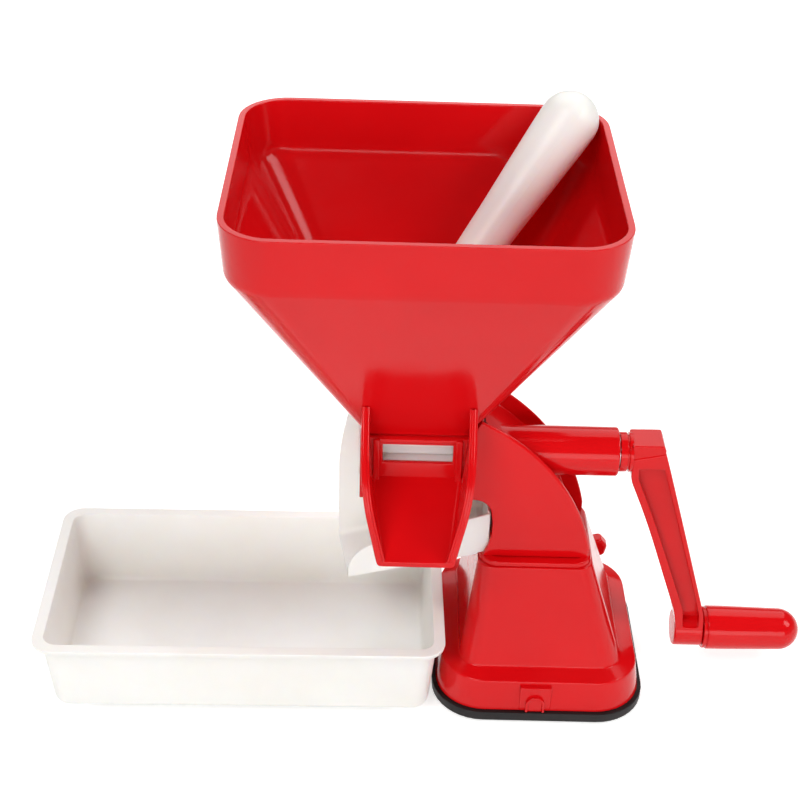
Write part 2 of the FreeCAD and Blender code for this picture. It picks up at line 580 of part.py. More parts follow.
def make_base_housing():
    """Plinth and pyramid in one hollow moulding, open below."""
    body = new_body("base_housing")
    lean = "plinth_draft"
    outer = [
        ("pad_high", centred("plinth_wide / 2", "plinth_deep / 2", "plinth_corner")),
        ("plinth_top", centred("plinth_wide / 2 - " + lean, "plinth_deep / 2 - " + lean,
                               "(plinth_corner - plinth_draft)")),
        ("pyramid_foot", centred("pyramid_foot_wide / 2", "pyramid_foot_deep / 2", "pyramid_foot_corner")),
        ("pyramid_top", centred("pyramid_top_wide / 2", "pyramid_top_deep / 2", "pyramid_top_corner",
                                mid_x="pyramid_top_shift")),
    ]
    inner = [
        ("pad_high", centred(PLINTH_INNER_X, PLINTH_INNER_Y, "(plinth_corner - shell)")),
        ("plinth_top - shell", centred(PLINTH_INNER_X + " - " + lean, PLINTH_INNER_Y + " - " + lean,
                                       "(plinth_corner - shell - plinth_draft)")),
        ("pyramid_foot - shell", centred("pyramid_foot_wide / 2 - shell", "pyramid_foot_deep / 2 - shell",
                                         "(pyramid_foot_corner - shell)")),
        ("pyramid_top - shell", centred("pyramid_top_wide / 2 - shell", "pyramid_top_deep / 2 - shell",
                                        "(pyramid_top_corner - shell)", mid_x="pyramid_top_shift")),
    ]
    loft(body, "Additive", "z", outer)
    loft(body, "Subtractive", "z", inner)
    for station in screw_places(BOSS_X, "boss_place_y"):
        slab(body, "z", PLATE_TOP, "plinth_top - shell / 2", (*station, "boss_radius"))
    pilots = [(x, y, "screw_radius") for x, y in screw_places(BOSS_X, "boss_place_y")]
    cut(body, "z", PLATE_TOP, "plinth_top - shell", *pilots)
    foot_holes = [(x, y, "screw_radius + easy_fit")
                  for x, y in screw_places("foot_screw_x", "foot_screw_y", "pyramid_top_shift")]
    cut(body, "z", "pyramid_top - shell", "pyramid_top", *foot_holes)
    cut(body, "y", PLINTH_INNER_Y + " - 2 * plinth_draft", "plinth_deep / 2",
        ("0", "cam_high", "cam_radius + easy_fit"))
    make_front_tab(body)


def make_front_tab(body):
    """Small tab on the plinth's front with an arch on it."""
    right = "(tab_left + tab_wide)"
    middle = "(tab_left + tab_wide / 2)"
    front = "(-plinth_deep / 2 - tab_stands)"
    slab(body, "y", "-plinth_deep / 2", "-plinth_deep / 2 + shell",
         rectangle("tab_left", right, "pad_high", "plinth_top - shell / 2"))
    slab(body, "y", front, "-plinth_deep / 2 + shell",
         arched(middle, "tab_arch", "pad_high", "pad_high + tab_arch"))


def screw(name, x, y, seat, length):
    """One upright screw: its head hangs under the seat and its shank goes up."""
    head = DOC.addObject("Part::Cylinder", name + "_head")
    shank = DOC.addObject("Part::Cylinder", name + "_shank")
    socket = DOC.addObject("Part::Cylinder", name + "_socket")
    for piece, radius, height, low in (
        (head, "screw_head_radius", "screw_head_high", seat + " - screw_head_high"),
        (shank, "screw_radius - running_fit", length, seat),
        (socket, "screw_radius", "screw_head_high * 0.6", seat + " - screw_head_high"),
    ):
        piece.setExpression("Radius", dims(radius))
        piece.setExpression("Height", dims(height))
        piece.setExpression("Placement.Base.x", dims(x))
        piece.setExpression("Placement.Base.y", dims(y))
        piece.setExpression("Placement.Base.z", dims(low))
    whole = DOC.addObject("Part::MultiFuse", name + "_blank")
    whole.Shapes = [head, shank]
    drilled = DOC.addObject("Part::Cut", name)
    drilled.Base = whole
    drilled.Tool = socket
    return drilled


def make_screws(label, places, seat, length):
    """A group of like screws in one node."""
    group = DOC.addObject("Part::Compound", label)
    group.Label = label
    group.Links = [screw("%s_%d" % (label, number), x, y, seat, length)
                   for number, (x, y) in enumerate(places, start=1)]
    PARTS.append(group)


def make_base_screws():
    make_screws("base_screws", screw_places(BOSS_X, "boss_place_y"),
                "pad_high + screw_head_high + easy_fit / 2", "base_screw_long")


def make_foot_screws():
    make_screws("foot_screws", screw_places("foot_screw_x", "foot_screw_y", "pyramid_top_shift"),
                "pyramid_top - shell", "foot_screw_long")


# ---------------------------------------------------------------- suction lever

def lever_body(name):
    """An empty body that turns with the suction lever: its own x axis runs along the lever."""
    body = new_body(name)
    body.setExpression("Placement.Rotation.Axis.x", "0")
    body.setExpression("Placement.Rotation.Axis.y", "1")
    body.setExpression("Placement.Rotation.Axis.z", "0")
    body.setExpression("Placement.Rotation.Angle", dims("-lever_rise"))
    place(body, z="cam_high")
    return body


def make_cam_shaft():
    """Steel shaft with an eccentric that lifts the stud."""
    body = lever_body("cam_shaft")
    angle = "((cam_rest_angle - lever_rise) * 1 deg)"
    half_pin = "(cam_pin_long / 2)"
    cheek_end = "(cam_pin_long / 2 + cam_cheek_thick)"
    slab(body, "y", half_pin, "%s - lever_gap / 2" % LEVER_BACK, ("0", "0", "cam_radius"))
    slab(body, "y", half_pin, cheek_end, ("0", "0", "cam_cheek_radius"))
    slab(body, "y", "-" + half_pin, half_pin,
         ("cam_throw * cos(%s)" % angle, "cam_throw * sin(%s)" % angle, "cam_pin_radius"))
    slab(body, "y", "-" + cheek_end, "-" + half_pin, ("0", "0", "cam_cheek_radius"))
    slab(body, "y", "cam_front", "-" + half_pin, ("0", "0", "cam_radius"))
    turned_groove = sketch_at(body, "x", "0")
    draw(turned_groove, [rectangle(GROOVE_FRONT, GROOVE_FRONT + " + groove_wide",
                                   "cam_radius - groove_deep", "cam_radius + groove_deep")])
    feature = body.newObject("PartDesign::Groove", body.Name + "_clip_groove")
    feature.Profile = turned_groove
    feature.ReferenceAxis = (turned_groove, ["H_Axis"])
    feature.Angle = 360
    DOC.recompute()
    middle = "(%s + lever_thick / 2)" % LEVER_FRONT
    cut(body, "x", "-cam_radius", "cam_radius", (middle, "0", "roll_pin + running_fit / 2"))


def make_cam_clip():
    """Retaining ring in the groove at the front end of the cam shaft."""
    body = lever_body("cam_clip")
    front = "(%s + (groove_wide - clip_thick) / 2)" % GROOVE_FRONT
    back = "(%s + (groove_wide + clip_thick) / 2)" % GROOVE_FRONT
    slab(body, "y", front, back, ("0", "0", "clip_radius"))
    cut(body, "y", front, back, ("0", "0", "cam_radius - groove_deep + running_fit"))
    cut(body, "y", front, back, rectangle("-cam_radius * 0.6", "cam_radius * 0.6", "-clip_radius - 1", "0"))


def make_suction_lever():
    """Plastic lever behind the plinth: hub, arm and knob."""
    body = lever_body("suction_lever")
    slab(body, "y", LEVER_FRONT, LEVER_BACK, ("0", "0", "lever_hub"))
    slab(body, "y", LEVER_FRONT, LEVER_BACK,
         rectangle("0", "lever_long", "-lever_wide / 2", "lever_wide / 2"))
    knob = rounded("lever_long - knob_long / 2", "lever_long + knob_long / 2",
                   "-knob_wide / 2", "knob_wide / 2", "(knob_wide / 3)")
    slab(body, "y", LEVER_FRONT, LEVER_FRONT + " + knob_deep", knob)
    cut(body, "y", LEVER_FRONT, LEVER_BACK + " - lever_gap / 2 + running_fit",
        ("0", "0", "cam_radius + running_fit / 2"))
    middle = "(%s + lever_thick / 2)" % LEVER_FRONT
    cut(body, "x", "-lever_hub", "lever_hub", (middle, "0", "roll_pin + running_fit / 2"))


def make_lever_pin():
    """Pin through the lever's hub and the cam shaft, along the lever."""
    body = lever_body("lever_pin")
    middle = "(%s + lever_thick / 2)" % LEVER_FRONT
    slab(body, "x", "-lever_hub + 1", "lever_hub - 1", (middle, "0", "roll_pin"))


# ---------------------------------------------------------------- machine body

def make_machine_body():
    """Drum chamber, curved horn and barrel in one moulding."""
    body = new_body("machine_body")
    half = "(neck_deep / 2)"
    slab(body, "y", "-" + half, half, horn_outline())
    cut(body, "y", "-%s + rim_thick" % half, "%s - rim_thick" % half, rim_channel())
    cut(body, "y", "-%s + rim_thick" % half, "%s - rim_thick" % half, horn_hollow())
    cut(body, "y", "-%s + rim_thick" % half, "%s - rim_thick" % half,
        rectangle("notch_foot_x - overcut / 2", "notch_x", "pyramid_top", "chamber_bottom - notch_round"))
    make_barrel(body)
    cut(body, "z", "pyramid_top", "horn_tip_high + overcut",
        rectangle(CHAMBER_INNER_LEFT, CHAMBER_INNER_RIGHT, "-" + CHAMBER_INNER_Y, CHAMBER_INNER_Y))
    cut(body, "x", CHAMBER_LEFT, CHAMBER_INNER_LEFT,
        ("0", "axis_high", "collar_radius + easy_fit"))
    cut(body, "y", FACE_Y, FACE_Y + " + chamber_wall",
        rectangle("window_left", "window_left + window_wide", "window_low", "window_low + window_tall"))
    for x, y in screw_places("foot_screw_x", "foot_screw_y", "pyramid_top_shift"):
        slab(body, "z", "pyramid_top", "pyramid_top + foot_screw_long",
             (x, y, "boss_radius + foot_boss_extra"))
    pilots = [(x, y, "screw_radius") for x, y in
              screw_places("foot_screw_x", "foot_screw_y", "pyramid_top_shift")]
    cut(body, "z", "pyramid_top", "pyramid_top + foot_screw_long - shell + pilot_spare", *pilots)


def horn_outline():
    """Side view of the whole moulding: chamber at the left, horn at the right."""
    slope_x = "(%s + %s / %s * (horn_tip_high - neck_high) + easy_fit)" % (
        CHAMBER_RIGHT, FUNNEL_RUN_X, FUNNEL_RISE)
    return [
        (CHAMBER_LEFT, "chamber_bottom"),
        ("notch_x - notch_round", "chamber_bottom", "-notch_round"),
        ("notch_x", "chamber_bottom - notch_round", "-bow_radius"),
        ("notch_foot_x", "pyramid_top"),
        ("horn_toe_x", "pyramid_top"),
        ("horn_toe_x", "horn_toe_high", "horn_radius"),
        (slope_x, "horn_tip_high"),
        (CHAMBER_RIGHT + " + easy_fit", "neck_high"),
        (CHAMBER_RIGHT + " + easy_fit", "chamber_top"),
        (CHAMBER_LEFT, "chamber_top"),
    ]


def rim_channel():
    """The channel that leaves the two plates as rims round the horn's curved edge."""
    slope_x = "(%s + %s / %s * (horn_tip_high - neck_high) + easy_fit)" % (
        CHAMBER_RIGHT, FUNNEL_RUN_X, FUNNEL_RISE)
    return [
        ("horn_toe_x - rim_deep", "pyramid_top"),
        ("horn_toe_x + overcut", "pyramid_top"),
        ("horn_toe_x + overcut", "horn_toe_high", "horn_radius + overcut"),
        (slope_x + " + overcut / 2", "horn_tip_high + overcut / 2"),
        (slope_x, "horn_tip_high - rim_deep", "-(horn_radius - rim_deep)"),
        ("horn_toe_x - rim_deep", "horn_toe_high"),
    ]


def horn_hollow():
    """The hollow between the plates, behind the web."""
    web = "(rim_deep + shell)"
    return [
        ("notch_x + shell", "pyramid_top"),
        ("horn_toe_x - %s" % web, "pyramid_top"),
        ("horn_toe_x - %s" % web, "horn_toe_high", "(horn_radius - %s)" % web),
        (BULKHEAD_RIGHT + " + shell", "horn_tip_high - 2 * " + web),
        (BULKHEAD_RIGHT, "chamber_top - 2 * shell"),
        (BULKHEAD_RIGHT, "chamber_bottom + shell"),
        ("notch_x + shell - notch_round", "chamber_bottom + shell", "-notch_round"),
        ("notch_x + shell", "chamber_bottom + shell - notch_round"),
    ]


def make_barrel(body):
    """Barrel for the shaft, from the bulkhead out of the horn, bored for two bushes and a seal."""
    axis = ("0", "axis_high")
    slab(body, "x", CHAMBER_INNER_RIGHT, "barrel_end", (*axis, "barrel_radius"))
    cut(body, "x", CHAMBER_INNER_RIGHT, "barrel_end", (*axis, "bush_radius - bush_shoulder"))
    cut(body, "x", CHAMBER_INNER_RIGHT, BULKHEAD_RIGHT + " + bush_long", (*axis, "bush_radius"))
    cut(body, "x", CHAMBER_INNER_RIGHT, CHAMBER_INNER_RIGHT + " + seal_thick", (*axis, "seal_radius"))
    cut(body, "x", "barrel_end - bush_long", "barrel_end", (*axis, "bush_radius"))


def make_bushes():
    """Two plain bushes at the ends of the barrel."""
    inner = new_body("shaft_bush_inner")
    place(inner, z="axis_high")
    ring(inner, BULKHEAD_RIGHT, BULKHEAD_RIGHT + " + bush_long",
         "shaft_radius + running_fit", "bush_radius")
    outer = new_body("shaft_bush_outer")
    place(outer, z="axis_high")
    ring(outer, "barrel_end - bush_long", "barrel_end", "shaft_radius + running_fit", "bush_radius")


def make_shaft_seal():
    """Rubber lip seal in the bulkhead, between the chamber and the inner bush."""
    body = new_body("shaft_seal")
    place(body, z="axis_high")
    ring(body, CHAMBER_INNER_RIGHT, CHAMBER_INNER_RIGHT + " + seal_thick",
         "shaft_radius + running_fit", "seal_radius")


# ---------------------------------------------------------------- hopper and flap

def make_hopper():
    """Rectangular hopper with an upright band, a lopsided funnel and a short spigot."""
    body = new_body("hopper")
    funnel_foot = rounded(CHAMBER_LEFT, CHAMBER_RIGHT, FACE_Y, "neck_deep / 2", "neck_corner")
    outer = [
        ("neck_high", funnel_foot),
        (BAND_HIGH, centred("hopper_wide / 2 - hopper_draft", "hopper_deep / 2 - hopper_draft",
                            "(hopper_corner - hopper_draft)", "hopper_mid_x", "hopper_mid_y")),
        ("rim_high", centred("hopper_wide / 2", "hopper_deep / 2", "hopper_corner",
                             "hopper_mid_x", "hopper_mid_y")),
    ]
    bore = centred(SPIGOT_X + " - neck_wall", SPIGOT_Y + " - neck_wall",
                   "(neck_corner - neck_wall)", "hopper_mid_x")
    inner = [
        ("neck_high", bore),
        (BAND_HIGH, centred("hopper_wide / 2 - hopper_draft - hopper_wall",
                            "hopper_deep / 2 - hopper_draft - hopper_wall",
                            "(hopper_corner - hopper_draft - hopper_wall)",
                            "hopper_mid_x", "hopper_mid_y")),
        ("rim_high", centred("hopper_wide / 2 - hopper_wall", "hopper_deep / 2 - hopper_wall",
                             "(hopper_corner - hopper_wall)", "hopper_mid_x", "hopper_mid_y")),
    ]
    loft(body, "Additive", "z", outer)
    loft(body, "Subtractive", "z", inner)
    spigot = centred(SPIGOT_X, SPIGOT_Y, "(neck_corner - neck_wall)", "hopper_mid_x")
    slab(body, "z", "chamber_top", "neck_high", funnel_foot)
    slab(body, "z", "chamber_top - spigot_long", "chamber_top", spigot)
    cut(body, "z", "chamber_top - spigot_long", "neck_high", bore)
    cut(body, "y", "-%s - 1" % SPIGOT_Y, "-%s + neck_wall + 2" % SPIGOT_Y,
        rectangle(NECK_LEFT + " + easy_fit", NECK_RIGHT + " - easy_fit",
                  "chamber_top - spigot_long - 1", "chamber_top"))
    cut(body, "x", NECK_LEFT + " - neck_wall", NECK_RIGHT + " + neck_wall",
        (FLAP_PIN_Y, "flap_pin_high", "flap_pin_radius + running_fit / 2"))


def make_flap_pin():
    """Steel pin that carries the flap, let into the neck's side walls."""
    body = new_body("flap_pin")
    place(body, y=FLAP_PIN_Y, z="flap_pin_high")
    slab(body, "x", NECK_LEFT + " - neck_wall", NECK_RIGHT + " + neck_wall", ("0", "0", "flap_pin_radius"))


def make_pressure_flap():
    """Sprung flap that holds the fruit against the drum: a knuckle and a hanging plate."""
    body = new_body("pressure_flap")
    place(body, y=FLAP_PIN_Y, z="flap_pin_high")
    left = "(%s + flap_side_gap)" % NECK_LEFT
    right = "(%s - flap_side_gap)" % NECK_RIGHT
    spring_room = "(spring_turns * spring_pitch + 4 * spring_wire)"
    tip = "(axis_high - flap_pin_high + sqrt((drum_radius + flap_tip_gap)^2 - %s^2))" % FLAP_PIN_Y
    front, back = "-flap_thick / 2 - flap_set_back", "flap_thick / 2 - flap_set_back"
    slab(body, "x", "%s + %s" % (left, spring_room), right, ("0", "0", "flap_knuckle"))
    slab(body, "x", left, right, rectangle(front, back, tip, "-flap_knuckle - flap_step"))
    slab(body, "x", "%s + %s" % (left, spring_room), right,
         rectangle(front, back, "-flap_knuckle - 1", "-flap_pin_radius - running_fit"))
    cut(body, "x", "%s + %s" % (left, spring_room), right, ("0", "0", "flap_pin_radius + running_fit"))


def make_flap_spring():
    """Torsion spring round the flap's pin."""
    body = new_body("flap_spring")
    place(body, x="%s + flap_side_gap + 2 * spring_wire" % NECK_LEFT, y=FLAP_PIN_Y, z="flap_pin_high")
    sketch = sketch_at(body, "y", "0")
    draw(sketch, [("0", "spring_coil", "spring_wire")])
    DOC.recompute()
    coil = body.newObject("PartDesign::AdditiveHelix", "flap_spring_coil")
    coil.Profile = sketch
    coil.ReferenceAxis = (sketch, ["H_Axis"])
    coil.Mode = "pitch-turns-angle"
    coil.setExpression("Pitch", dims("spring_pitch"))
    coil.setExpression("Turns", dims("spring_turns"))
    DOC.recompute()


# ---------------------------------------------------------------- waste chute and trough

def make_waste_chute():
    """Open chute with a slotted frame at its back and two side walls that die at the lip."""
    body = new_body("waste_chute")
    lip_y = "(%s - lip_reach)" % FACE_Y
    elbow_y = "(%s - elbow_reach)" % FACE_Y
    fall = "((floor_high - lip_high) / (lip_reach - chute_gap - frame_thick))"
    wall = "chute_wall"
    top = "(cheek_top_high + overcut)"

    def section(width, low, high, flare):
        foot = "(%s / 2)" % width
        brim = "(%s / 2 + (%s))" % (width, flare)
        return [("chute_mid_x - " + foot, low), ("chute_mid_x + " + foot, low),
                ("chute_mid_x + " + brim, high), ("chute_mid_x - " + brim, high)]

    full = "(chute_wide - 2 * chute_wall - floor_back_wide) / 2"
    lip_flare = "(chute_wide - 2 * chute_wall - floor_lip_wide) / 2 * lip_share"
    elbow_wide = "(floor_back_wide + (floor_lip_wide - floor_back_wide) * elbow_reach / lip_reach)"
    elbow_floor = "(lip_high + %s * (lip_reach - elbow_reach))" % fall
    elbow_flare = "(chute_wide - 2 * chute_wall - %s) / 2" % elbow_wide
    rise = "(elbow_high - %s)" % elbow_floor
    sections = [
        (FRAME_FRONT, "floor_back_wide", "floor_high", "floor_high + " + rise, full),
        (elbow_y, elbow_wide, elbow_floor, "elbow_high", elbow_flare),
        (lip_y, "floor_lip_wide", "lip_high", "(lip_high + %s * lip_share)" % rise, lip_flare),
    ]
    outer = [(y, section("(%s + 2 * %s)" % (wide, wall), "%s - %s" % (low, wall), high, flare))
             for y, wide, low, high, flare in sections]
    loft(body, "Additive", "y", outer)
    slab(body, "y", elbow_y, FRAME_BACK,
         rectangle(CHUTE_LEFT, CHUTE_RIGHT, "floor_high + %s" % rise, top))
    slab(body, "y", FRAME_FRONT, FRAME_BACK,
         rectangle(CHUTE_LEFT, CHUTE_RIGHT, "frame_low", "floor_high + %s + 1" % rise))
    inner = [(y, section(wide, low, high, flare)) for y, wide, low, high, flare in sections]
    loft(body, "Subtractive", "y", inner)
    cut(body, "y", elbow_y, FRAME_FRONT,
        rectangle(CHUTE_LEFT + " + " + wall, CHUTE_RIGHT + " - " + wall, "floor_high + %s" % rise, top))
    cut(body, "y", FRAME_FRONT, FRAME_BACK,
        rectangle("chute_mid_x - slot_wide / 2", "chute_mid_x + slot_wide / 2",
                  "slot_low", "slot_low + slot_tall"))
    cut(body, "y", FRAME_FRONT, FRAME_BACK,
        rectangle(CHUTE_LEFT + " + " + wall, CHUTE_RIGHT + " - " + wall, "chamber_top", top))
    trim_chute_top(body, elbow_y, lip_y, top)


def trim_chute_top(body, elbow_y, lip_y, top):
    """Cuts the side walls to their outline and to the slope of the hopper above them."""
    lean = "(%s / %s)" % (FUNNEL_RUN_Y, FUNNEL_RISE)
    slope_y = "(%s - chute_gap - %s * (%s - neck_high))" % (FACE_Y, lean, "%s")
    over_slope = [
        (FRAME_BACK, "neck_high"),
        (slope_y % "cheek_top_high", "cheek_top_high"),
        (slope_y % (top + " + overcut"), top + " + overcut"),
        (FACE_Y + " + overcut", top + " + overcut"),
        (FACE_Y + " + overcut", "neck_high"),
    ]
    over_front = [
        (slope_y % "cheek_top_high", "cheek_top_high"),
        (elbow_y, "elbow_high"),
        (lip_y, "lip_high + lip_edge"),
        (lip_y + " - overcut", "lip_high + lip_edge"),
        (lip_y + " - overcut", top + " + overcut"),
        (slope_y % "cheek_top_high", top + " + overcut"),
    ]
    cut(body, "x", CHUTE_LEFT + " - overcut", CHUTE_RIGHT + " + overcut", over_slope)
    cut(body, "x", CHUTE_LEFT + " - overcut", CHUTE_RIGHT + " + overcut", over_front)


def make_skin_scraper():
    """Strip on the lower edge of the waste window that lifts the skins off the drum."""
    body = new_body("skin_scraper")
    middle = "(window_low + scraper_thick / 2 - axis_high)"
    reach = "(-sqrt((drum_radius + scraper_gap)^2 - %s^2))" % middle
    slab(body, "z", "window_low", "window_low + scraper_thick",
         rectangle("window_left + scraper_side", "window_left + window_wide - scraper_side", FACE_Y, reach))


def make_juice_trough():
    """Sloping channel under the drum, open to the left, with a tall back wall and a guard beside it."""
    body = new_body("juice_trough")
    slope = "tan(trough_slope * 1 deg)"
    left_low = "(trough_low - (trough_low_x - trough_left) * %s)" % slope
    front_low = "(trough_low - (trough_low_x - trough_front_left) * %s)" % slope
    right_low = "(pyramid_top + easy_fit / 2)"
    sill_x = "(%s - easy_fit)" % PYRAMID_LEFT
    inner_y = "(%s - trough_wall)" % TROUGH_Y
    slab(body, "y", "-" + TROUGH_Y, TROUGH_Y, [
        ("trough_left", left_low), ("trough_low_x", "trough_low"),
        (sill_x, right_low), ("trough_right", right_low),
        ("trough_right", "trough_low + trough_depth"),
        (CHAMBER_RIGHT + " - easy_fit", "chamber_bottom - easy_fit"),
        (CHAMBER_INNER_RIGHT + " - easy_fit", "chamber_bottom - easy_fit"),
        (CHAMBER_INNER_RIGHT + " - easy_fit", "trough_back_high"),
        (CHAMBER_INNER_LEFT + " + easy_fit", "trough_back_high"),
        (CHAMBER_INNER_LEFT + " + easy_fit", "chamber_bottom - easy_fit"),
        ("trough_left", "chamber_bottom - easy_fit"),
    ])
    lift = "trough_wall / cos(trough_slope * 1 deg)"
    cut(body, "y", "-" + inner_y, inner_y, [
        ("trough_left - overcut", left_low + " - overcut * %s + %s" % (slope, lift)),
        ("trough_low_x", "trough_low + %s" % lift),
        (sill_x, right_low + " + trough_wall"),
        ("trough_right - trough_wall", right_low + " + trough_wall"),
        ("trough_right - trough_wall", "trough_back_high + overcut"),
        ("trough_left - overcut", "trough_back_high + overcut"),
    ])
    brim = "(%s + trough_cut_high)" % front_low
    cut(body, "y", "-%s - 1" % TROUGH_Y, "-" + inner_y, [
        ("trough_front_left", front_low + " + trough_sill", "-trough_cut"),
        ("trough_front_left + trough_cut_long", brim),
        ("trough_right", "trough_low + trough_depth"),
        ("trough_right", "trough_back_high + overcut"),
        ("trough_left - overcut", "trough_back_high + overcut"),
        ("trough_left - overcut", front_low + " + trough_sill"),
    ])
    cut(body, "z", left_low + " - overcut", "trough_low", [
        ("trough_left - overcut", "-%s - overcut" % TROUGH_Y),
        ("trough_front_left", "-%s - overcut" % TROUGH_Y),
        ("trough_front_left", "-%s" % TROUGH_Y), ("trough_left", TROUGH_Y),
        ("trough_left - overcut", TROUGH_Y),
    ])
    guard_low = "chamber_bottom - easy_fit - trough_wall"
    guard_right = CHAMBER_LEFT + " - easy_fit"
    slab(body, "y", inner_y, TROUGH_Y, [
        ("trough_left", guard_low), (guard_right, guard_low),
        (guard_right, "trough_back_high"), ("trough_left + guard_lean", "trough_back_high"),
    ])


# ---------------------------------------------------------------- drum, shaft and crank

def make_strainer_drum():
    """Perforated drum with an open left end and a collar that runs in the chamber's wall."""
    body = new_body("strainer_drum")
    place(body, z="axis_high")
    bore = "(collar_radius - drum_wall)"
    inner = "(drum_radius - drum_wall)"
    shoulder = "(%s + drum_wall)" % DRUM_LEFT
    turned(body, "x", [
        (CHAMBER_LEFT + " - collar_out", bore), (shoulder, bore), (shoulder, inner),
        (DRUM_RIGHT, inner), (DRUM_RIGHT, "drum_radius"), (DRUM_LEFT, "drum_radius"),
        (DRUM_LEFT, "collar_radius"), (CHAMBER_LEFT + " - collar_out", "collar_radius"),
    ])
    first = "(hopper_mid_x - hole_pitch * (hole_rows - 1) / 2)"
    row = []
    for number in range(int(size("hole_rows"))):
        middle = "(%s + hole_pitch * %d)" % (first, number)
        row.append(rectangle(middle + " - hole_long / 2", middle + " + hole_long / 2",
                             "-hole_wide / 2", "hole_wide / 2"))
    pocket = cut(body, "z", "0", "drum_radius + 1", *row)
    pattern = body.newObject("PartDesign::PolarPattern", "drum_slots")
    pattern.Originals = [pocket]
    pattern.Axis = (pocket.Profile[0], ["H_Axis"])
    pattern.Angle = 360
    pattern.setExpression("Occurrences", dims("hole_rings"))
    body.Tip = pattern
    DOC.recompute()


def make_drum_hub():
    """Disc and boss that carry the drum on the square of the shaft."""
    body = new_body("drum_hub")
    place(body, z="axis_high")
    rim = "(drum_radius - drum_wall - running_fit / 2)"
    face = "(%s - hub_disc)" % DRUM_RIGHT
    slab(body, "x", face, DRUM_RIGHT, ("0", "0", rim))
    slab(body, "x", DRUM_RIGHT + " - hub_long", face, ("0", "0", "hub_radius"))
    side = "(square_side / 2 + running_fit / 2)"
    cut(body, "x", DRUM_RIGHT + " - hub_long + 2", DRUM_RIGHT, rectangle("-" + side, side, "-" + side, side))


def make_drive_shaft():
    """Steel shaft with square ends for the drum hub and the crank."""
    body = new_body("drive_shaft")
    place(body, z="axis_high")
    half = "(square_side / 2)"
    square = rectangle("-" + half, half, "-" + half, half)
    slab(body, "x", DRUM_RIGHT, "crank_hub_left", ("0", "0", "shaft_radius"))
    slab(body, "x", DRUM_RIGHT + " - hub_long + hub_cap", DRUM_RIGHT, square)
    slab(body, "x", "crank_hub_left", SHAFT_END, square)
    cut(body, "x", SHAFT_END + " - 12", SHAFT_END, ("0", "0", "crank_screw_shank"))


def make_thrust_washer():
    """Steel washer between the barrel's end and the crank's neck."""
    body = new_body("thrust_washer")
    place(body, z="axis_high")
    ring(body, "barrel_end + end_play", "barrel_end + end_play + washer_thick",
         "shaft_radius + running_fit", "washer_radius")


def crank_outline():
    """Side view of the arm, from under the hub to the foot."""
    low = "(-crank_radius)"
    return [
        ("crank_hub_left", "-crank_hub_radius * 0.6"),
        ("crank_hub_left", "-crank_hub_radius - arm_flange"),
        ("crank_hub_left + arm_bend_left", "-arm_bend_low"),
        ("arm_foot_left - arm_ankle_left", low + " + arm_ankle"),
        ("arm_foot_left", low + " + arm_foot_radius * 0.5"),
        ("arm_foot_right", low + " + arm_foot_radius * 0.5"),
        ("arm_foot_right - arm_ankle_right", low + " + arm_ankle - arm_flange"),
        ("crank_hub_right + arm_bend_right", "-arm_bend_low"),
        ("crank_hub_right", "crank_hub_radius * 0.4"),
        ("crank_hub_right", "-crank_hub_radius * 0.6"),
    ]


def crank_pocket():
    """Side view of the pocket that leaves the web between two flanges."""
    low = "(-crank_radius + arm_foot_radius + 2)"
    return [
        ("crank_hub_left + arm_wall", "-arm_pocket_top"),
        ("crank_hub_left + arm_bend_left + arm_wall", "-arm_bend_low"),
        ("arm_foot_left + arm_flange", low), ("arm_foot_right - arm_wall", low),
        ("crank_hub_right + arm_bend_right - arm_wall", "-arm_bend_low"),
        ("crank_hub_right + arm_bend_right * 0.4 - arm_flange", "-arm_pocket_top"),
    ]


def make_crank_arm():
    """Crank with a neck, a hub, a cranked arm of H section and a foot for the grip's axle."""
    body = new_body("crank_arm")
    place(body, z="axis_high")
    neck = "(barrel_end + washer_thick + 2 * end_play)"
    groove = "(crank_neck_radius - crank_groove)"
    turned(body, "x", [
        (neck, "shaft_radius + running_fit"), ("crank_hub_right", "shaft_radius + running_fit"),
        ("crank_hub_right", "crank_hub_radius - crank_bevel"),
        ("crank_hub_right - crank_bevel", "crank_hub_radius"),
        ("crank_hub_left", "crank_hub_radius"), ("crank_hub_left", "crank_neck_radius"),
        ("crank_hub_left - groove_place", "crank_neck_radius"), ("crank_hub_left - groove_place", groove),
        ("crank_hub_left - groove_place - groove_long", groove),
        ("crank_hub_left - groove_place - groove_long", "crank_neck_radius"),
        (neck, "crank_neck_radius"),
    ])
    half = "(arm_deep / 2)"
    slab(body, "y", "-" + half, half, crank_outline())
    slab(body, "x", "arm_foot_left", "arm_foot_right", ("0", "-crank_radius", "arm_foot_radius"))
    slab(body, "x", "crank_hub_left + 0.5", "crank_hub_right - 0.5", ("0", "0", "crank_hub_radius - 0.5"))
    cut(body, "y", "-" + half, "-arm_web / 2", crank_pocket())
    cut(body, "y", "arm_web / 2", half, crank_pocket())
    side = "(square_side / 2 + running_fit / 2)"
    cut(body, "x", "crank_hub_left", SHAFT_END, rectangle("-" + side, side, "-" + side, side))
    cut(body, "x", SHAFT_END, "crank_hub_right", ("0", "0", "crank_screw_shank + easy_fit"))
    cut(body, "x", "crank_hub_right - crank_screw_seat", "crank_hub_right",
        ("0", "0", "crank_screw_head + easy_fit"))
    cut(body, "x", "arm_foot_left + 2", "arm_foot_right",
        ("0", "-crank_radius", "axle_radius + running_fit / 2"))


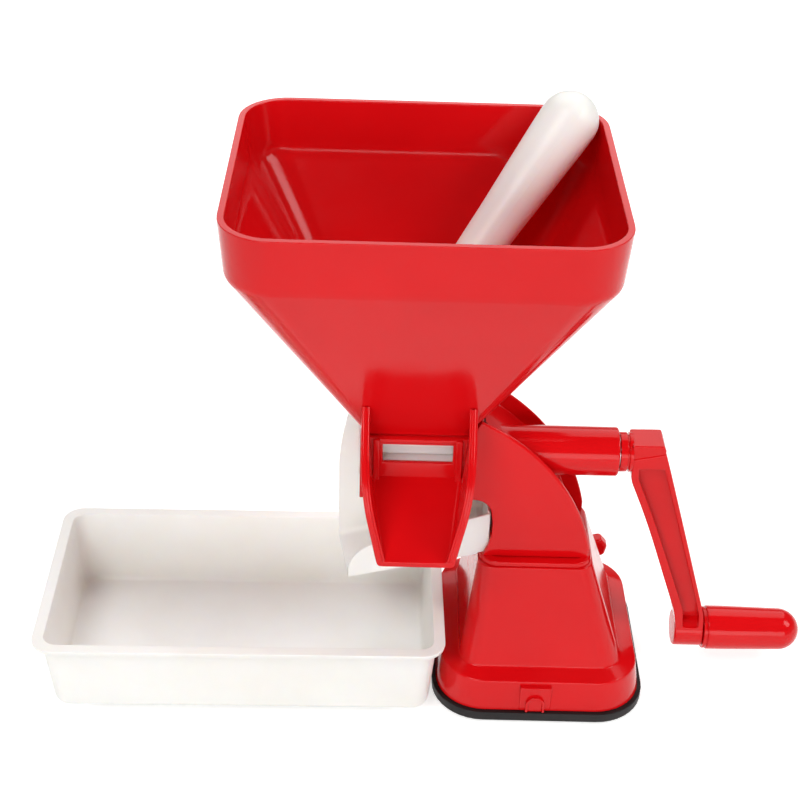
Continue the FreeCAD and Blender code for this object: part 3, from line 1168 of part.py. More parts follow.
def make_crank_screw():
    """Screw that holds the crank on the square of the shaft."""
    body = new_body("crank_screw")
    place(body, z="axis_high")
    seat = "(crank_hub_right - crank_screw_seat)"
    top = seat + " + crank_screw_head_high"
    slab(body, "x", seat, top, ("0", "0", "crank_screw_head"))
    slab(body, "x", SHAFT_END + " - 10", seat, ("0", "0", "crank_screw_shank - running_fit / 2"))
    cut(body, "x", seat + " + crank_screw_head_high * 0.4", top,
        rectangle("-crank_screw_head * 0.75", "crank_screw_head * 0.75", "-0.5", "0.5"))


def make_grip():
    """Turned grip with a round end, bored for its axle."""
    body = new_body("grip")
    place(body, z="axis_high - crank_radius")
    bore = "(axle_radius + running_fit)"
    well = "(axle_head + easy_fit)"
    turned(body, "x", [
        (GRIP_LEFT, bore), ("axle_end - easy_fit", bore), ("axle_end - easy_fit", well),
        ("axle_end + axle_head_thick + easy_fit", well), ("axle_end + axle_head_thick + easy_fit", "0"),
        ("grip_end", "0", "(grip_radius * 0.96)"),
        ("grip_end - grip_radius * 0.96", "grip_radius * 0.96"),
        (GRIP_LEFT + " + 2 * grip_collar_long", "grip_radius"),
        (GRIP_LEFT + " + grip_collar_long + grip_collar", "grip_radius - grip_collar / 2"),
        (GRIP_LEFT + " + grip_collar_long", "grip_radius - grip_collar"),
        (GRIP_LEFT, "grip_radius - grip_collar"),
    ])


def make_grip_axle():
    """Steel axle fixed in the crank's foot, with a head inside the grip."""
    body = new_body("grip_axle")
    place(body, z="axis_high - crank_radius")
    slab(body, "x", "arm_foot_left + 2.2", "axle_end", ("0", "0", "axle_radius"))
    slab(body, "x", "axle_end", "axle_end + axle_head_thick", ("0", "0", "axle_head"))


# ---------------------------------------------------------------- tray and pusher

def make_tray():
    """Juice tray with tapering sides, a flange round its rim and four feet."""
    body = new_body("tray")
    body.setExpression("Placement.Rotation.Axis.x", "0")
    body.setExpression("Placement.Rotation.Axis.y", "0")
    body.setExpression("Placement.Rotation.Axis.z", "1")
    body.setExpression("Placement.Rotation.Angle", dims("tray_turn"))
    place(body, "(-plinth_wide / 2 - tray_out)", "tray_mid_y")
    rim_x = "(tray_long / 2 - tray_flange)"
    rim_y = "(tray_deep / 2 - tray_flange)"
    corner = "(tray_corner - tray_flange / 2)"
    inner_corner = "(tray_corner - tray_flange / 2 - tray_wall)"
    loft(body, "Additive", "z", [
        ("tray_foot", centred(rim_x + " - tray_taper_x", rim_y + " - tray_taper_y", corner)),
        ("tray_high - tray_flange_thick / 2", centred(rim_x, rim_y, corner)),
    ])
    slab(body, "z", "tray_high - tray_flange_thick", "tray_high",
         centred("tray_long / 2", "tray_deep / 2", "tray_corner"))
    loft(body, "Subtractive", "z", [
        ("tray_foot + tray_wall", centred(rim_x + " - tray_taper_x - tray_wall",
                                          rim_y + " - tray_taper_y - tray_wall", inner_corner)),
        ("tray_high", centred(rim_x + " - tray_wall", rim_y + " - tray_wall", inner_corner)),
    ])
    foot_x = "(%s - tray_taper_x - tray_foot_inset - tray_foot_wide / 2)" % rim_x
    foot_y = "(%s - tray_taper_y - tray_foot_inset - tray_foot_deep / 2)" % rim_y
    for side_x in ("-", ""):
        for side_y in ("-", ""):
            slab(body, "z", "0", "tray_foot + tray_wall / 2",
                 centred("tray_foot_wide / 2", "tray_foot_deep / 2", "(tray_foot_deep / 4)",
                         side_x + foot_x, side_y + foot_y))


def make_pusher():
    """Pusher with a round head, a waist and a flared foot, leaning in the hopper."""
    body = new_body("pusher")
    loft(body, "Additive", "z", [
        ("0", centred("pusher_foot_wide / 2", "pusher_foot_deep / 2", "pusher_foot_corner")),
        ("pusher_foot_high", centred("pusher_foot_wide / 2", "pusher_foot_deep / 2", "pusher_foot_corner")),
        ("pusher_foot_high + pusher_low", centred("pusher_low_wide / 2", "pusher_low_deep / 2",
                                                  "pusher_low_corner")),
        ("pusher_foot_high + pusher_mid", centred("pusher_mid_wide / 2", "pusher_mid_deep / 2",
                                                  "pusher_mid_corner")),
        ("pusher_waist_high", centred("pusher_waist + 0.1", "pusher_waist + 0.1", "pusher_waist")),
    ])
    turned(body, "z", [
        ("pusher_waist_high", "0"), ("pusher_waist_high", "pusher_waist"),
        ("pusher_long - pusher_head", "pusher_head", "pusher_head"),
        ("pusher_long", "0"),
    ])
    run_x = "(hopper_mid_x + hopper_wide / 2 - pusher_rest_x - %s)" % PUSHER_X
    run_y = "(hopper_mid_y + hopper_deep / 2 - pusher_rest_y - pusher_foot_y)"
    lean = "atan(sqrt(%s^2 + %s^2) / (rim_high - %s))" % (run_x, run_y, PUSHER_Z)
    body.setExpression("Placement.Rotation.Axis.x", dims("-" + run_y))
    body.setExpression("Placement.Rotation.Axis.y", dims(run_x))
    body.setExpression("Placement.Rotation.Axis.z", "0")
    body.setExpression("Placement.Rotation.Angle", dims(lean + " - pusher_axis_off * 1 deg"))
    place(body, PUSHER_X, "pusher_foot_y", PUSHER_Z)


# ---------------------------------------------------------------- the whole

def build():
    """Makes every piece, from the table up."""
    fill_sheet()
    make_suction_pad()
    make_pad_stud()
    make_base_plate()
    make_base_housing()
    make_base_screws()
    make_foot_screws()
    make_cam_shaft()
    make_cam_clip()
    make_suction_lever()
    make_lever_pin()
    make_machine_body()
    make_bushes()
    make_shaft_seal()
    make_hopper()
    make_flap_pin()
    make_pressure_flap()
    make_flap_spring()
    make_waste_chute()
    make_skin_scraper()
    make_juice_trough()
    make_strainer_drum()
    make_drum_hub()
    make_drive_shaft()
    make_thrust_washer()
    make_crank_arm()
    make_crank_screw()
    make_grip()
    make_grip_axle()
    make_tray()
    make_pusher()
    DOC.recompute()


def check():
    """Stops if any object failed or any piece is not a sound solid."""
    for thing in DOC.Objects:
        if "Invalid" in thing.State or "Error" in thing.State:
            raise RuntimeError("%s did not compute: %s" % (thing.Name, thing.State))
    for part in PARTS:
        if part.Shape.isNull() or not part.Shape.isValid() or not part.Shape.Solids:
            raise RuntimeError("%s is not a sound solid" % part.Label)


def export():
    """Writes one STEP file for each piece."""
    os.makedirs("parts", exist_ok=True)
    for part in PARTS:
        part.Shape.exportStep(os.path.join("parts", part.Label + ".step"))
        box = part.Shape.BoundBox
        print("%-18s solids %d  volume %9.0f  x %7.1f %7.1f  y %7.1f %7.1f  z %7.1f %7.1f" % (
            part.Label, len(part.Shape.Solids), part.Shape.Volume,
            box.XMin, box.XMax, box.YMin, box.YMax, box.ZMin, box.ZMax))


build()
check()
export()
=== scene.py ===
"""Hand cranked tomato strainer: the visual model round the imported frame.

All sizes of the object are millimetres, in the frame of the CAD model: X to the crank, Y to the
back, Z up, the origin under the middle of the suction pad.
"""
import json
import math

import bmesh
import bpy
from mathutils import Matrix, Vector


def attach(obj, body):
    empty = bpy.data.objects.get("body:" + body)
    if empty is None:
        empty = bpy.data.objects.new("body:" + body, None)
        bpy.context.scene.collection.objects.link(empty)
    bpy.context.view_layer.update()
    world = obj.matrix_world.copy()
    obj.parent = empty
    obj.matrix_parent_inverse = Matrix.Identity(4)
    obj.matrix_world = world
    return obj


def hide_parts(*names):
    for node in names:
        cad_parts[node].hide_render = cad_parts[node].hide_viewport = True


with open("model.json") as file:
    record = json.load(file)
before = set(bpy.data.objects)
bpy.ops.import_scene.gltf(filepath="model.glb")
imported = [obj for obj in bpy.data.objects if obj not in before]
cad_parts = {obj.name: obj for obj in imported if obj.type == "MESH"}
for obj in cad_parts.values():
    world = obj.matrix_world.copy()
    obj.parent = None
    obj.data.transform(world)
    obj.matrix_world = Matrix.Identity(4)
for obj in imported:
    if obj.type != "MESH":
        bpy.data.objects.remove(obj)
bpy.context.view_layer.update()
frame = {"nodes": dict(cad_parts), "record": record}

MM = 0.001
CORNER_STEPS = 10
TIP_RADIUS = 0.02


def joint_height(name):
    """Height of a joint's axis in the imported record, in millimetres."""
    places = {joint["name"]: joint["pos_m"] for joint in frame["record"]["behaviour"]["joints"]
              if joint.get("pos_m")}
    return round(places[name][2] / MM, 3)


AXIS_HIGH = joint_height("crank_spin")
GRIP_HIGH = joint_height("grip_spin")
LEVER_HIGH = joint_height("lever_turn")


# ------------------------------------------------------------------ mesh helpers

def soften(corners, closed=True, steps=5):
    """Rounds the corners of a path in any number of dimensions: each is (point, reach)."""
    path = []
    for number, (point, reach) in enumerate(corners):
        if not reach or (not closed and number in (0, len(corners) - 1)):
            path.append(tuple(point))
            continue
        here = Vector(point)
        ends = []
        for other, _ in (corners[number - 1], corners[(number + 1) % len(corners)]):
            way = Vector(other) - here
            ends.append(here + way * min(reach / way.length, 0.49))
        for step in range(steps + 1):
            t = step / steps
            path.append(tuple((1 - t) ** 2 * a + 2 * t * (1 - t) * b + t * t * c
                              for a, b, c in zip(ends[0], here, ends[1])))
    return path


def arc(start, end, radius, steps=24):
    """Points along the short arc with its centre on the left, or the right for a radius below 0."""
    start, end = Vector(start), Vector(end)
    half = (end - start) / 2
    reach = math.sqrt(max(radius * radius - half.length_squared, 0.0))
    side = Vector((-half.y, half.x)).normalized() * math.copysign(reach, radius)
    centre = start + half + side
    first = math.atan2(start.y - centre.y, start.x - centre.x)
    last = math.atan2(end.y - centre.y, end.x - centre.x)
    turn = (last - first + math.pi) % (2 * math.pi) - math.pi
    return [(centre.x + abs(radius) * math.cos(first + turn * step / steps),
             centre.y + abs(radius) * math.sin(first + turn * step / steps))
            for step in range(steps + 1)]


def circle(radius, steps=64, mid=(0.0, 0.0)):
    """Points of a full circle."""
    return [(mid[0] + radius * math.cos(2 * math.pi * step / steps),
             mid[1] + radius * math.sin(2 * math.pi * step / steps)) for step in range(steps)]


def rectangle(left, low, right, high):
    """Corners of a plane rectangle."""
    return [(left, low), (right, low), (right, high), (left, high)]


def box_loop(mid_x, mid_y, half_x, half_y, radius, z):
    """A level rectangle with round corners, always with the same number of points."""
    loop = []
    for number, (side_x, side_y) in enumerate(((1, 1), (-1, 1), (-1, -1), (1, -1))):
        for step in range(CORNER_STEPS + 1):
            angle = math.radians(90 * (number + step / CORNER_STEPS))
            loop.append((mid_x + side_x * (half_x - radius) + radius * math.cos(angle),
                         mid_y + side_y * (half_y - radius) + radius * math.sin(angle), z))
    return loop


def fillet(corners, steps=6):
    """A plane outline from (x, y) or (x, y, reach) corners."""
    return soften([((c[0], c[1]), c[2] if len(c) > 2 else 0) for c in corners], steps=steps)


class Shape:
    """Collects closed shells, in millimetres, that become one mesh."""

    def __init__(self):
        self.points = []
        self.faces = []

    def add(self, points, faces):
        """Adds one shell."""
        base = len(self.points)
        self.points += [tuple(point) for point in points]
        self.faces += [[base + number for number in face] for face in faces]

    def skin(self, rings, closed=False):
        """A skin over like rings; closed joins the last ring to the first, else both get caps."""
        size = len(rings[0])
        count = len(rings)
        faces = []
        for ring in range(count if closed else count - 1):
            low, high = ring * size, (ring + 1) % count * size
            for step in range(size):
                after = (step + 1) % size
                faces.append((low + step, low + after, high + after, high + step))
        if not closed:
            faces.append(tuple(reversed(range(size))))
            faces.append(tuple(range((count - 1) * size, count * size)))
        self.add([point for ring in rings for point in ring], faces)

    def stack(self, keys):
        """A skin over level rectangles: ((mid x, mid y, half x, half y, corner, z), reach)."""
        self.skin([box_loop(*key) for key in soften(keys, closed=False)])

    def prism(self, outline, axis, low, high):
        """A plane outline drawn out along an axis."""
        self.skin([lay(outline, axis, low), lay(outline, axis, high)])

    def hoop(self, outer, inner, axis, low, high):
        """A plate with a hole: both outlines have the same number of points."""
        self.skin([lay(outer, axis, low), lay(outer, axis, high),
                   lay(inner, axis, high), lay(inner, axis, low)], closed=True)

    def lathe(self, profile, axis, mid=(0.0, 0.0), closed=True, steps=96):
        """A turned shell from (along, radius) points; open profiles end on the axis."""
        rings = []
        for along, radius in profile:
            rings.append(lay(circle(max(radius, TIP_RADIUS), steps, mid), axis, along))
        self.skin(rings, closed)

    def moved(self, matrix):
        """Turns and shifts everything made so far."""
        self.points = [tuple(matrix @ Vector(point)) for point in self.points]
        return self

    def mesh(self, name):
        """The collected shells as one mesh in metres, with its normals outwards."""
        mesh = bpy.data.meshes.new(name)
        mesh.from_pydata([[c * MM for c in point] for point in self.points], [], self.faces)
        work = bmesh.new()
        work.from_mesh(mesh)
        bmesh.ops.remove_doubles(work, verts=work.verts, dist=0.000002)
        bmesh.ops.recalc_face_normals(work, faces=work.faces)
        work.to_mesh(mesh)
        work.free()
        return mesh

    def piece(self, name):
        """The collected shells as an object in the scene."""
        return link(name, self.mesh(name))


def lay(outline, axis, station):
    """Puts a plane outline square to an axis: (y, z), (x, z) or (x, y) for x, y or z."""
    if axis == "x":
        return [(station, a, b) for a, b in outline]
    if axis == "y":
        return [(a, station, b) for a, b in outline]
    return [(a, b, station) for a, b in outline]


def cutter(outline, axis, low, high):
    """A shape of one prism, to carve with."""
    shape = Shape()
    shape.prism(outline, axis, low, high)
    return shape


def link(name, data):
    """A new object in the scene."""
    piece = bpy.data.objects.new(name, data)
    bpy.context.scene.collection.objects.link(piece)
    return piece


def carve(piece, *cutters):
    """Takes the shapes away from the piece's mesh for good."""
    helpers = []
    for number, shape in enumerate(cutters):
        helper = link("%s_cutter_%d" % (piece.name, number), shape.mesh("cutter"))
        modifier = piece.modifiers.new("carve", "BOOLEAN")
        modifier.operation = "DIFFERENCE"
        modifier.solver = "EXACT"
        modifier.object = helper
        helpers.append(helper)
    bpy.context.view_layer.update()
    graph = bpy.context.evaluated_depsgraph_get()
    carved = bpy.data.meshes.new_from_object(piece.evaluated_get(graph))
    piece.modifiers.clear()
    piece.data = carved
    for helper in helpers:
        bpy.data.objects.remove(helper)


def finish(piece, body, slot, edge=0.0, angle=32.0, nodes=()):
    """Dresses a piece, rounds its sharp edges, shades it and hands it to its body."""
    mesh = piece.data
    mesh.materials.clear()
    mesh.materials.append(MATERIALS[slot])
    mesh.shade_smooth()
    if edge:
        bevel = piece.modifiers.new("edges", "BEVEL")
        bevel.width = edge * MM
        bevel.segments = 3
        bevel.limit_method = "ANGLE"
        bevel.angle_limit = math.radians(angle)
        bevel.use_clamp_overlap = False
        bevel.harden_normals = False
    else:
        mesh.set_sharp_from_angle(angle=math.radians(angle + 12))
    weights = piece.modifiers.new("shading", "WEIGHTED_NORMAL")
    weights.keep_sharp = True
    weights.weight = 80
    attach(piece, body)
    if nodes:
        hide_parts(*nodes)


# ------------------------------------------------------------------ materials

def linear(red, green, blue):
    """A linear colour from one written as 0-255 steps of a screen."""
    return tuple((c / 255 / 12.92 if c < 11 else ((c / 255 + 0.055) / 1.055) ** 2.4)
                 for c in (red, green, blue)) + (1.0,)


def set_ramp(node, stops):
    """Sets the (position, colour) stops of a colour ramp."""
    elements = node.color_ramp.elements
    while len(elements) < len(stops):
        elements.new(0.5)
    for element, (position, colour) in zip(elements, stops):
        element.position = position
        element.color = colour


class Look:
    """A material with one principled shader, and the nodes that drive it."""

    def __init__(self, name, **sockets):
        self.material = bpy.data.materials.new(name)
        self.material.use_nodes = True
        self.tree = self.material.node_tree
        self.shader = self.tree.nodes["Principled BSDF"]
        for key, value in sockets.items():
            self.shader.inputs[key.replace("_", " ")].default_value = value
        self.place = self.node("ShaderNodeTexCoord").outputs["Object"]

    def node(self, kind, **settings):
        """A new node, with settings that are its own properties or its input sockets."""
        node = self.tree.nodes.new(kind)
        for key, value in settings.items():
            if hasattr(node, key):
                setattr(node, key, value)
            else:
                node.inputs[key.replace("_", " ")].default_value = value
        return node

    def wire(self, start, end):
        """Links an output socket to an input socket."""
        self.tree.links.new(start, end)

    def noise(self, scale, detail=3.0, roughness=0.5, stretch=None):
        """Noise at a scale per metre, stretched along the axes where a grain runs."""
        node = self.node("ShaderNodeTexNoise", Scale=scale, Detail=detail, Roughness=roughness)
        if stretch:
            mapping = self.node("ShaderNodeMapping", Scale=stretch)
            self.wire(self.place, mapping.inputs["Vector"])
            self.wire(mapping.outputs["Vector"], node.inputs["Vector"])
        else:
            self.wire(self.place, node.inputs["Vector"])
        return node.outputs["Fac"]

    def ramp(self, factor, low, high, target):
        """Drives an input of the shader between two colours or greys, given as (position, value)."""
        node = self.node("ShaderNodeValToRGB")
        set_ramp(node, [(position, value if isinstance(value, tuple) else (value, value, value, 1.0))
                        for position, value in (low, high)])
        self.wire(factor, node.inputs["Fac"])
        self.wire(node.outputs["Color"], self.shader.inputs[target])

    def colour(self, factor, first, second):
        """Base colour that drifts between two tints."""
        self.ramp(factor, (0.35, first), (0.65, second), "Base Color")

    def roughness(self, factor, low, high):
        """Roughness that drifts between two values."""
        self.ramp(factor, (0.3, low), (0.7, high), "Roughness")

    def bump(self, *layers):
        """Layers of (factor, depth in metres, strength)."""
        normal = None
        for factor, depth, strength in layers:
            node = self.node("ShaderNodeBump", Strength=strength, Distance=depth)
            self.wire(factor, node.inputs["Height"])
            if normal:
                self.wire(normal, node.inputs["Normal"])
            normal = node.outputs["Normal"]
        self.wire(normal, self.shader.inputs["Normal"])


def red_plastic():
    """Glossy injection-moulded plastic: faint flow marks, sink waviness and a fine orange peel."""
    look = Look("red_plastic", IOR=1.48, Specular_IOR_Level=0.27)
    look.colour(look.noise(14, 2.0), linear(211, 10, 16), linear(218, 13, 19))
    look.roughness(look.noise(60, 4.0), 0.09, 0.15)
    look.bump((look.noise(26, 1.5), 0.0006, 0.10), (look.noise(700, 2.0), 0.00003, 0.22))
    return look.material


def white_plastic():
    """Milky plastic: light goes a little way in, with a soft satin face."""
    look = Look("white_plastic", IOR=1.5, Subsurface_Weight=0.35, Subsurface_Scale=0.004)
    look.shader.inputs["Subsurface Radius"].default_value = (1.0, 0.8, 0.6)
    look.colour(look.noise(18, 3.0), linear(245, 243, 238), linear(249, 248, 244))
    look.roughness(look.noise(90, 4.0), 0.30, 0.42)
    look.bump((look.noise(40, 2.0), 0.0004, 0.10), (look.noise(1500, 3.0), 0.00002, 0.25))
    return look.material


def black_rubber():
    """Matt rubber with a faint bloom and a fine pebble."""
    look = Look("black_rubber", IOR=1.5, Specular_IOR_Level=0.3)
    look.colour(look.noise(45, 5.0), linear(18, 16, 17), linear(27, 24, 25))
    look.roughness(look.noise(120, 3.0), 0.46, 0.62)
    look.bump((look.noise(2400, 3.0), 0.00005, 0.35))
    return look.material


def steel(name, stretch, tint, low, high):
    """Turned or drawn steel: fine lines along the way it was worked."""
    look = Look(name, Metallic=1.0)
    lines = look.noise(900, 4.0, 0.6, stretch)
    look.colour(look.noise(70, 3.0), tint[0], tint[1])
    look.roughness(lines, low, high)
    look.bump((lines, 0.00002, 0.35))
    return look.material


def satin_plastic(name, first, second, low, high):
    """Plain moulded plastic for the hidden pieces."""
    look = Look(name, IOR=1.5)
    look.colour(look.noise(60, 4.0), first, second)
    look.roughness(look.noise(140, 3.0), low, high)
    look.bump((look.noise(1200, 3.0), 0.00003, 0.3))
    return look.material


# one material for each slot of the record
MATERIALS = {
    "red_plastic": red_plastic(),
    "white_plastic": white_plastic(),
    "black_rubber": black_rubber(),
    "steel": steel("steel", (1.0, 9.0, 9.0), (linear(176, 177, 178), linear(193, 194, 195)), 0.22, 0.36),
    "zinc_steel": steel("zinc_steel", (5.0, 5.0, 5.0), (linear(170, 174, 180), linear(196, 198, 200)),
                        0.30, 0.48),
    "grey_plastic": satin_plastic("grey_plastic", linear(96, 98, 101), linear(108, 110, 112), 0.42, 0.55),
    "bush_plastic": satin_plastic("bush_plastic", linear(226, 220, 204), linear(236, 231, 218), 0.36, 0.48),
}


# ------------------------------------------------------------------ suction base

TAB_MID = -3.0
PLINTH_FRONT = -59.5
PYRAMID_MID = -6.0


def make_pad():
    """Rubber mat: a bevel at its foot, a soft upper edge and a dished underside."""
    half_x, half_y = 61.4, 62.0
    rows = ((14.0, 18.0, 1.2, 0), (6.0, 24.0, 0.0, 0.8), (1.8, 27.2, 0.0, 0.5),
            (0.0, 29.0, 1.8, 0.6), (0.0, 29.0, 7.4, 0.9), (5.0, 25.0, 7.45, 0))
    shape = Shape()
    shape.stack([((0, 0, half_x - inset, half_y - inset, corner, z), reach)
                 for inset, corner, z, reach in rows])
    piece = shape.piece("pad_rubber")
    pocket_radius, pocket_floor = 12.3, 3.0
    carve(piece, cutter(circle(pocket_radius), "z", pocket_floor, 12.0))
    finish(piece, "frame", "black_rubber", nodes=("suction_pad",))


def make_base():
    """Plinth with its ledge and the pyramid, one hollow moulding with soft edges."""
    inside = [
        ((PYRAMID_MID, 0, 24, 22, 3.0, 87.0), 0), ((PYRAMID_MID, 0, 29, 27, 6.0, 87.0), 1.0),
        ((0, 0, 43, 44, 10.0, 27.5), 1.0), ((0, 0, 53.0, 53.3, 21.3, 24.0), 1.0),
        ((0, 0, 56.2, 56.5, 24.5, 7.5), 0.3),
    ]
    plinth = [((0, 0, 59.2, 59.5, 27.5, 7.5), 0.4), ((0, 0, 56.2, 56.5, 24.5, 26.6), 1.6)]
    pyramid = [((0, 0, 46.4, 47.4, 13.0, 29.6), 1.4), ((PYRAMID_MID, 0, 32.4, 30.4, 8.5, 88.4), 0.5)]
    collar = [
        ((PYRAMID_MID, 0, 31.0, 29.0, 9.0, 88.7), 0.3), ((PYRAMID_MID, 0, 31.9, 29.9, 11.0, 89.3), 0.4),
        ((PYRAMID_MID, 0, 31.4, 29.4, 11.0, 91.6), 1.0), ((PYRAMID_MID, 0, 27.6, 25.6, 8.0, 91.8), 0.8),
        ((PYRAMID_MID, 0, 26.6, 24.6, 5.0, 91.0), 0),
    ]
    shape = Shape()
    shape.stack(inside + plinth + pyramid + collar)
    half, foot, top = 9, 7.5, 24.6
    tab = fillet([(TAB_MID - half, foot), (TAB_MID + half, foot), (TAB_MID + half, top, 1.0),
                  (TAB_MID - half, top, 1.0)])
    shape.prism(tab, "y", PLINTH_FRONT - 0.2, PLINTH_FRONT + 6)
    piece = shape.piece("base_moulding")
    finish(piece, "frame", "red_plastic", edge=0.5, angle=50, nodes=("base_housing",))


def make_base_arch():
    """The little arch on the plinth's front tab: a raised border round a lower panel."""
    half, border, foot = 5.5, 1.5, 7.6
    border_front, panel_front, back = -61.4, -60.5, -59.0
    outlines = []
    for reach in (half, half - border):
        crown = arc((TAB_MID + reach, foot + half), (TAB_MID - reach, foot + half), reach + 0.001, 20)
        outlines.append([(TAB_MID + reach, foot)] + crown + [(TAB_MID - reach, foot)])
    outer, inner = outlines
    shape = Shape()
    shape.prism(outer + inner[::-1], "y", border_front, back)
    shape.prism(inner, "y", panel_front, back)
    piece = shape.piece("base_arch")
    finish(piece, "frame", "red_plastic", edge=0.35, angle=40)


def make_lever():
    """Suction lever: hub, tapering arm and a faceted knob, raised from the level."""
    front, thick, raised = 60.5, 4.5, 15.5
    hub_radius, bore = 8.0, 4.05
    knob_mid, knob_half_x, knob_half_z = 43, 8, 6.4
    shape = Shape()
    shape.lathe(soften([((front, bore), 0), ((front, hub_radius), 0.6), ((front + thick, hub_radius), 0.8),
                        ((front + thick, bore), 0)]), "y", steps=72)
    arm = [(5.0, -5.2), (36.5, -4.4), (36.5, 4.4), (5.0, 5.2)]
    shape.prism(arm, "y", front + 0.2, front + thick - 0.2)
    profile = [((front + 0.1, 5.4), 1.0), ((front + 1.6, knob_half_z), 1.0),
               ((front + 7.4, knob_half_z), 1.0), ((front + 8.9, 5.2), 1.0)]
    corners = ((-1.0, -1), (0.6, -1), (1.0, 0), (0.6, 1), (-1.0, 1))
    rings = []
    for y, half in soften(profile, closed=False):
        reach = knob_half_x * half / knob_half_z
        outline = fillet([(knob_mid + reach * across, half * rise, 1.6) for across, rise in corners])
        rings.append(lay(outline, "y", y))
    shape.skin(rings)
    turn = Matrix.Translation((0, 0, LEVER_HIGH)) @ Matrix.Rotation(math.radians(-raised), 4, "Y")
    piece = shape.moved(turn).piece("lever_moulding")
    finish(piece, "lever_set", "red_plastic", edge=0.5, nodes=("suction_lever",))


# ------------------------------------------------------------------ machine body

BODY_LEFT = -105.8
BODY_FOOT = 91.0
INNER_HALF = 20.9


def horn_outline(inset):
    """Side view of the moulding: the chamber at the left, the horn at the right."""
    notch = arc((-42.6, 130.0), (-32.6, 120.0), -10.0, 12)
    bow = arc((-32.6, 120.0), (-36.5, BODY_FOOT), -43.0, 12)
    edge = arc((24.0 - inset, 97.0), (-40.7 - inset * 0.7, 181.5 - inset * 0.7), 122.9 - inset, 56)
    return ([(BODY_LEFT, 130.0)] + notch + bow[1:] + [(24.0 - inset, BODY_FOOT)] + edge
            + [(-45.5, 174.0), (-45.5, 172.5), (BODY_LEFT, 172.5)])


def make_machine_body():
    """Drum chamber and horn: two plates with a web between them, set back from their edge."""
    across = [((-23.5, 2.4), 0), ((-23.3, 1.2), 0.2), ((-22.3, 0.1), 0.3), ((22.3, 0.1), 0.3),
              ((23.3, 1.2), 0.2), ((23.5, 2.4), 0)]
    shape = Shape()
    shape.skin([lay(horn_outline(inset), "y", y) for y, inset in soften(across, closed=False, steps=2)])
    piece = shape.piece("body_moulding")
    channel = ([(14.8, 90.0), (30.0, 90.0)] + arc((30.0, 97.0), (-38.0, 186.5), 129.0, 48)
               + arc((-43.9, 172.9), (14.8, 97.0), -113.7, 56))
    hollow = ([(-29.6, 90.0), (11.8, 90.0)] + arc((11.8, 97.0), (-43.9, 166.5), 110.7, 40)
              + [(-44.9, 166.5), (-44.9, 133.0)] + arc((-39.6, 133.0), (-29.6, 123.0), -10.0, 10))
    notch = rectangle(-39.5, 90.0, -32.6, 120.0)
    between = [cutter(outline, "y", -INNER_HALF, INNER_HALF) for outline in (channel, hollow, notch)]
    chamber = cutter(rectangle(-103.2, -INNER_HALF, -48.4, INNER_HALF), "z", 88.0, 190.0)
    axis = (0.0, AXIS_HIGH)
    drum_radius, seal_radius, bush_radius = 16.3, 9.5, 8.0
    drum_end = cutter(circle(drum_radius, 96, axis), "x", -107.0, -100.0)
    window = cutter(rectangle(-94.8, 155.0, -55.1, 169.0), "y", -25.0, -19.0)
    seal_seat = cutter(circle(seal_radius, 64, axis), "x", -49.0, -46.0)
    bush_bore = cutter(circle(bush_radius, 64, axis), "x", -47.0, -32.9)
    carve(piece, *between, chamber, drum_end, window, seal_seat, bush_bore)
    finish(piece, "frame", "red_plastic", edge=0.6, angle=40, nodes=("machine_body",))


def make_barrel():
    """Barrel for the shaft, with a fillet at the horn and a lip at its end."""
    bore, radius, flare = 8.02, 13.7, 17.0
    root, end, lip = -44.9, 36.5, 0.6
    profile = soften([((root, bore), 0), ((root, flare), 0), ((-33.0, flare), 0), ((-26.0, radius), 4.0),
                      ((end - lip, radius), 0.8), ((end, radius - lip), 0.6), ((end, bore), 0)])
    shape = Shape()
    shape.lathe(profile, "x", (0.0, AXIS_HIGH))
    piece = shape.piece("barrel_moulding")
    finish(piece, "frame", "red_plastic")


# ------------------------------------------------------------------ hopper

def make_hopper():
    """Rectangular hopper: upright band, lopsided funnel, short neck and spigot."""
    mid, bowl_y, rim = -75.8, 17, 310.0
    sill, sill_y, sill_half = 172.4, -17.0, 24.6
    outside = [
        ((mid, 0, 27.1, 20.6, 3.6, 168.0), 0.3), ((mid, 0, 27.1, 20.6, 3.6, 172.6), 0),
        ((mid, 0, 30.0, 23.5, 6.0, 172.6), 0.5), ((mid, 0, 30.0, 23.5, 6.0, 174.2), 1.0),
        ((mid, bowl_y, 97.8, 82.8, 24.8, 280.0), 2.5), ((mid, bowl_y, 100.0, 85.0, 27.0, rim), 0.8),
    ]
    inside = [
        ((mid, bowl_y, 96.4, 81.4, 23.4, rim), 0.8), ((mid, bowl_y, 94.3, 79.3, 21.4, 281.0), 6.0),
        ((mid, 0, 24.7, 18.2, 3.5, 174.0), 2.0), ((mid, 0, 24.7, 18.2, 3.5, 168.0), 0.3),
    ]
    rings = [box_loop(*key) for key in soften(outside + inside)]
    # the spigot's front wall ends at the sill, so that it clears the chute's slot
    for ring in rings:
        for number, (x, y, z) in enumerate(ring):
            if z < sill and y < sill_y and abs(x - mid) < sill_half:
                ring[number] = (x, y, sill)
    shape = Shape()
    shape.skin(rings, closed=True)
    piece = shape.piece("hopper_moulding")
    finish(piece, "frame", "red_plastic", angle=40, nodes=("hopper",))


# ------------------------------------------------------------------ waste chute

CHUTE_MID = -74.8
CHUTE_WALL = 3.2
BRIM_START = -32.8


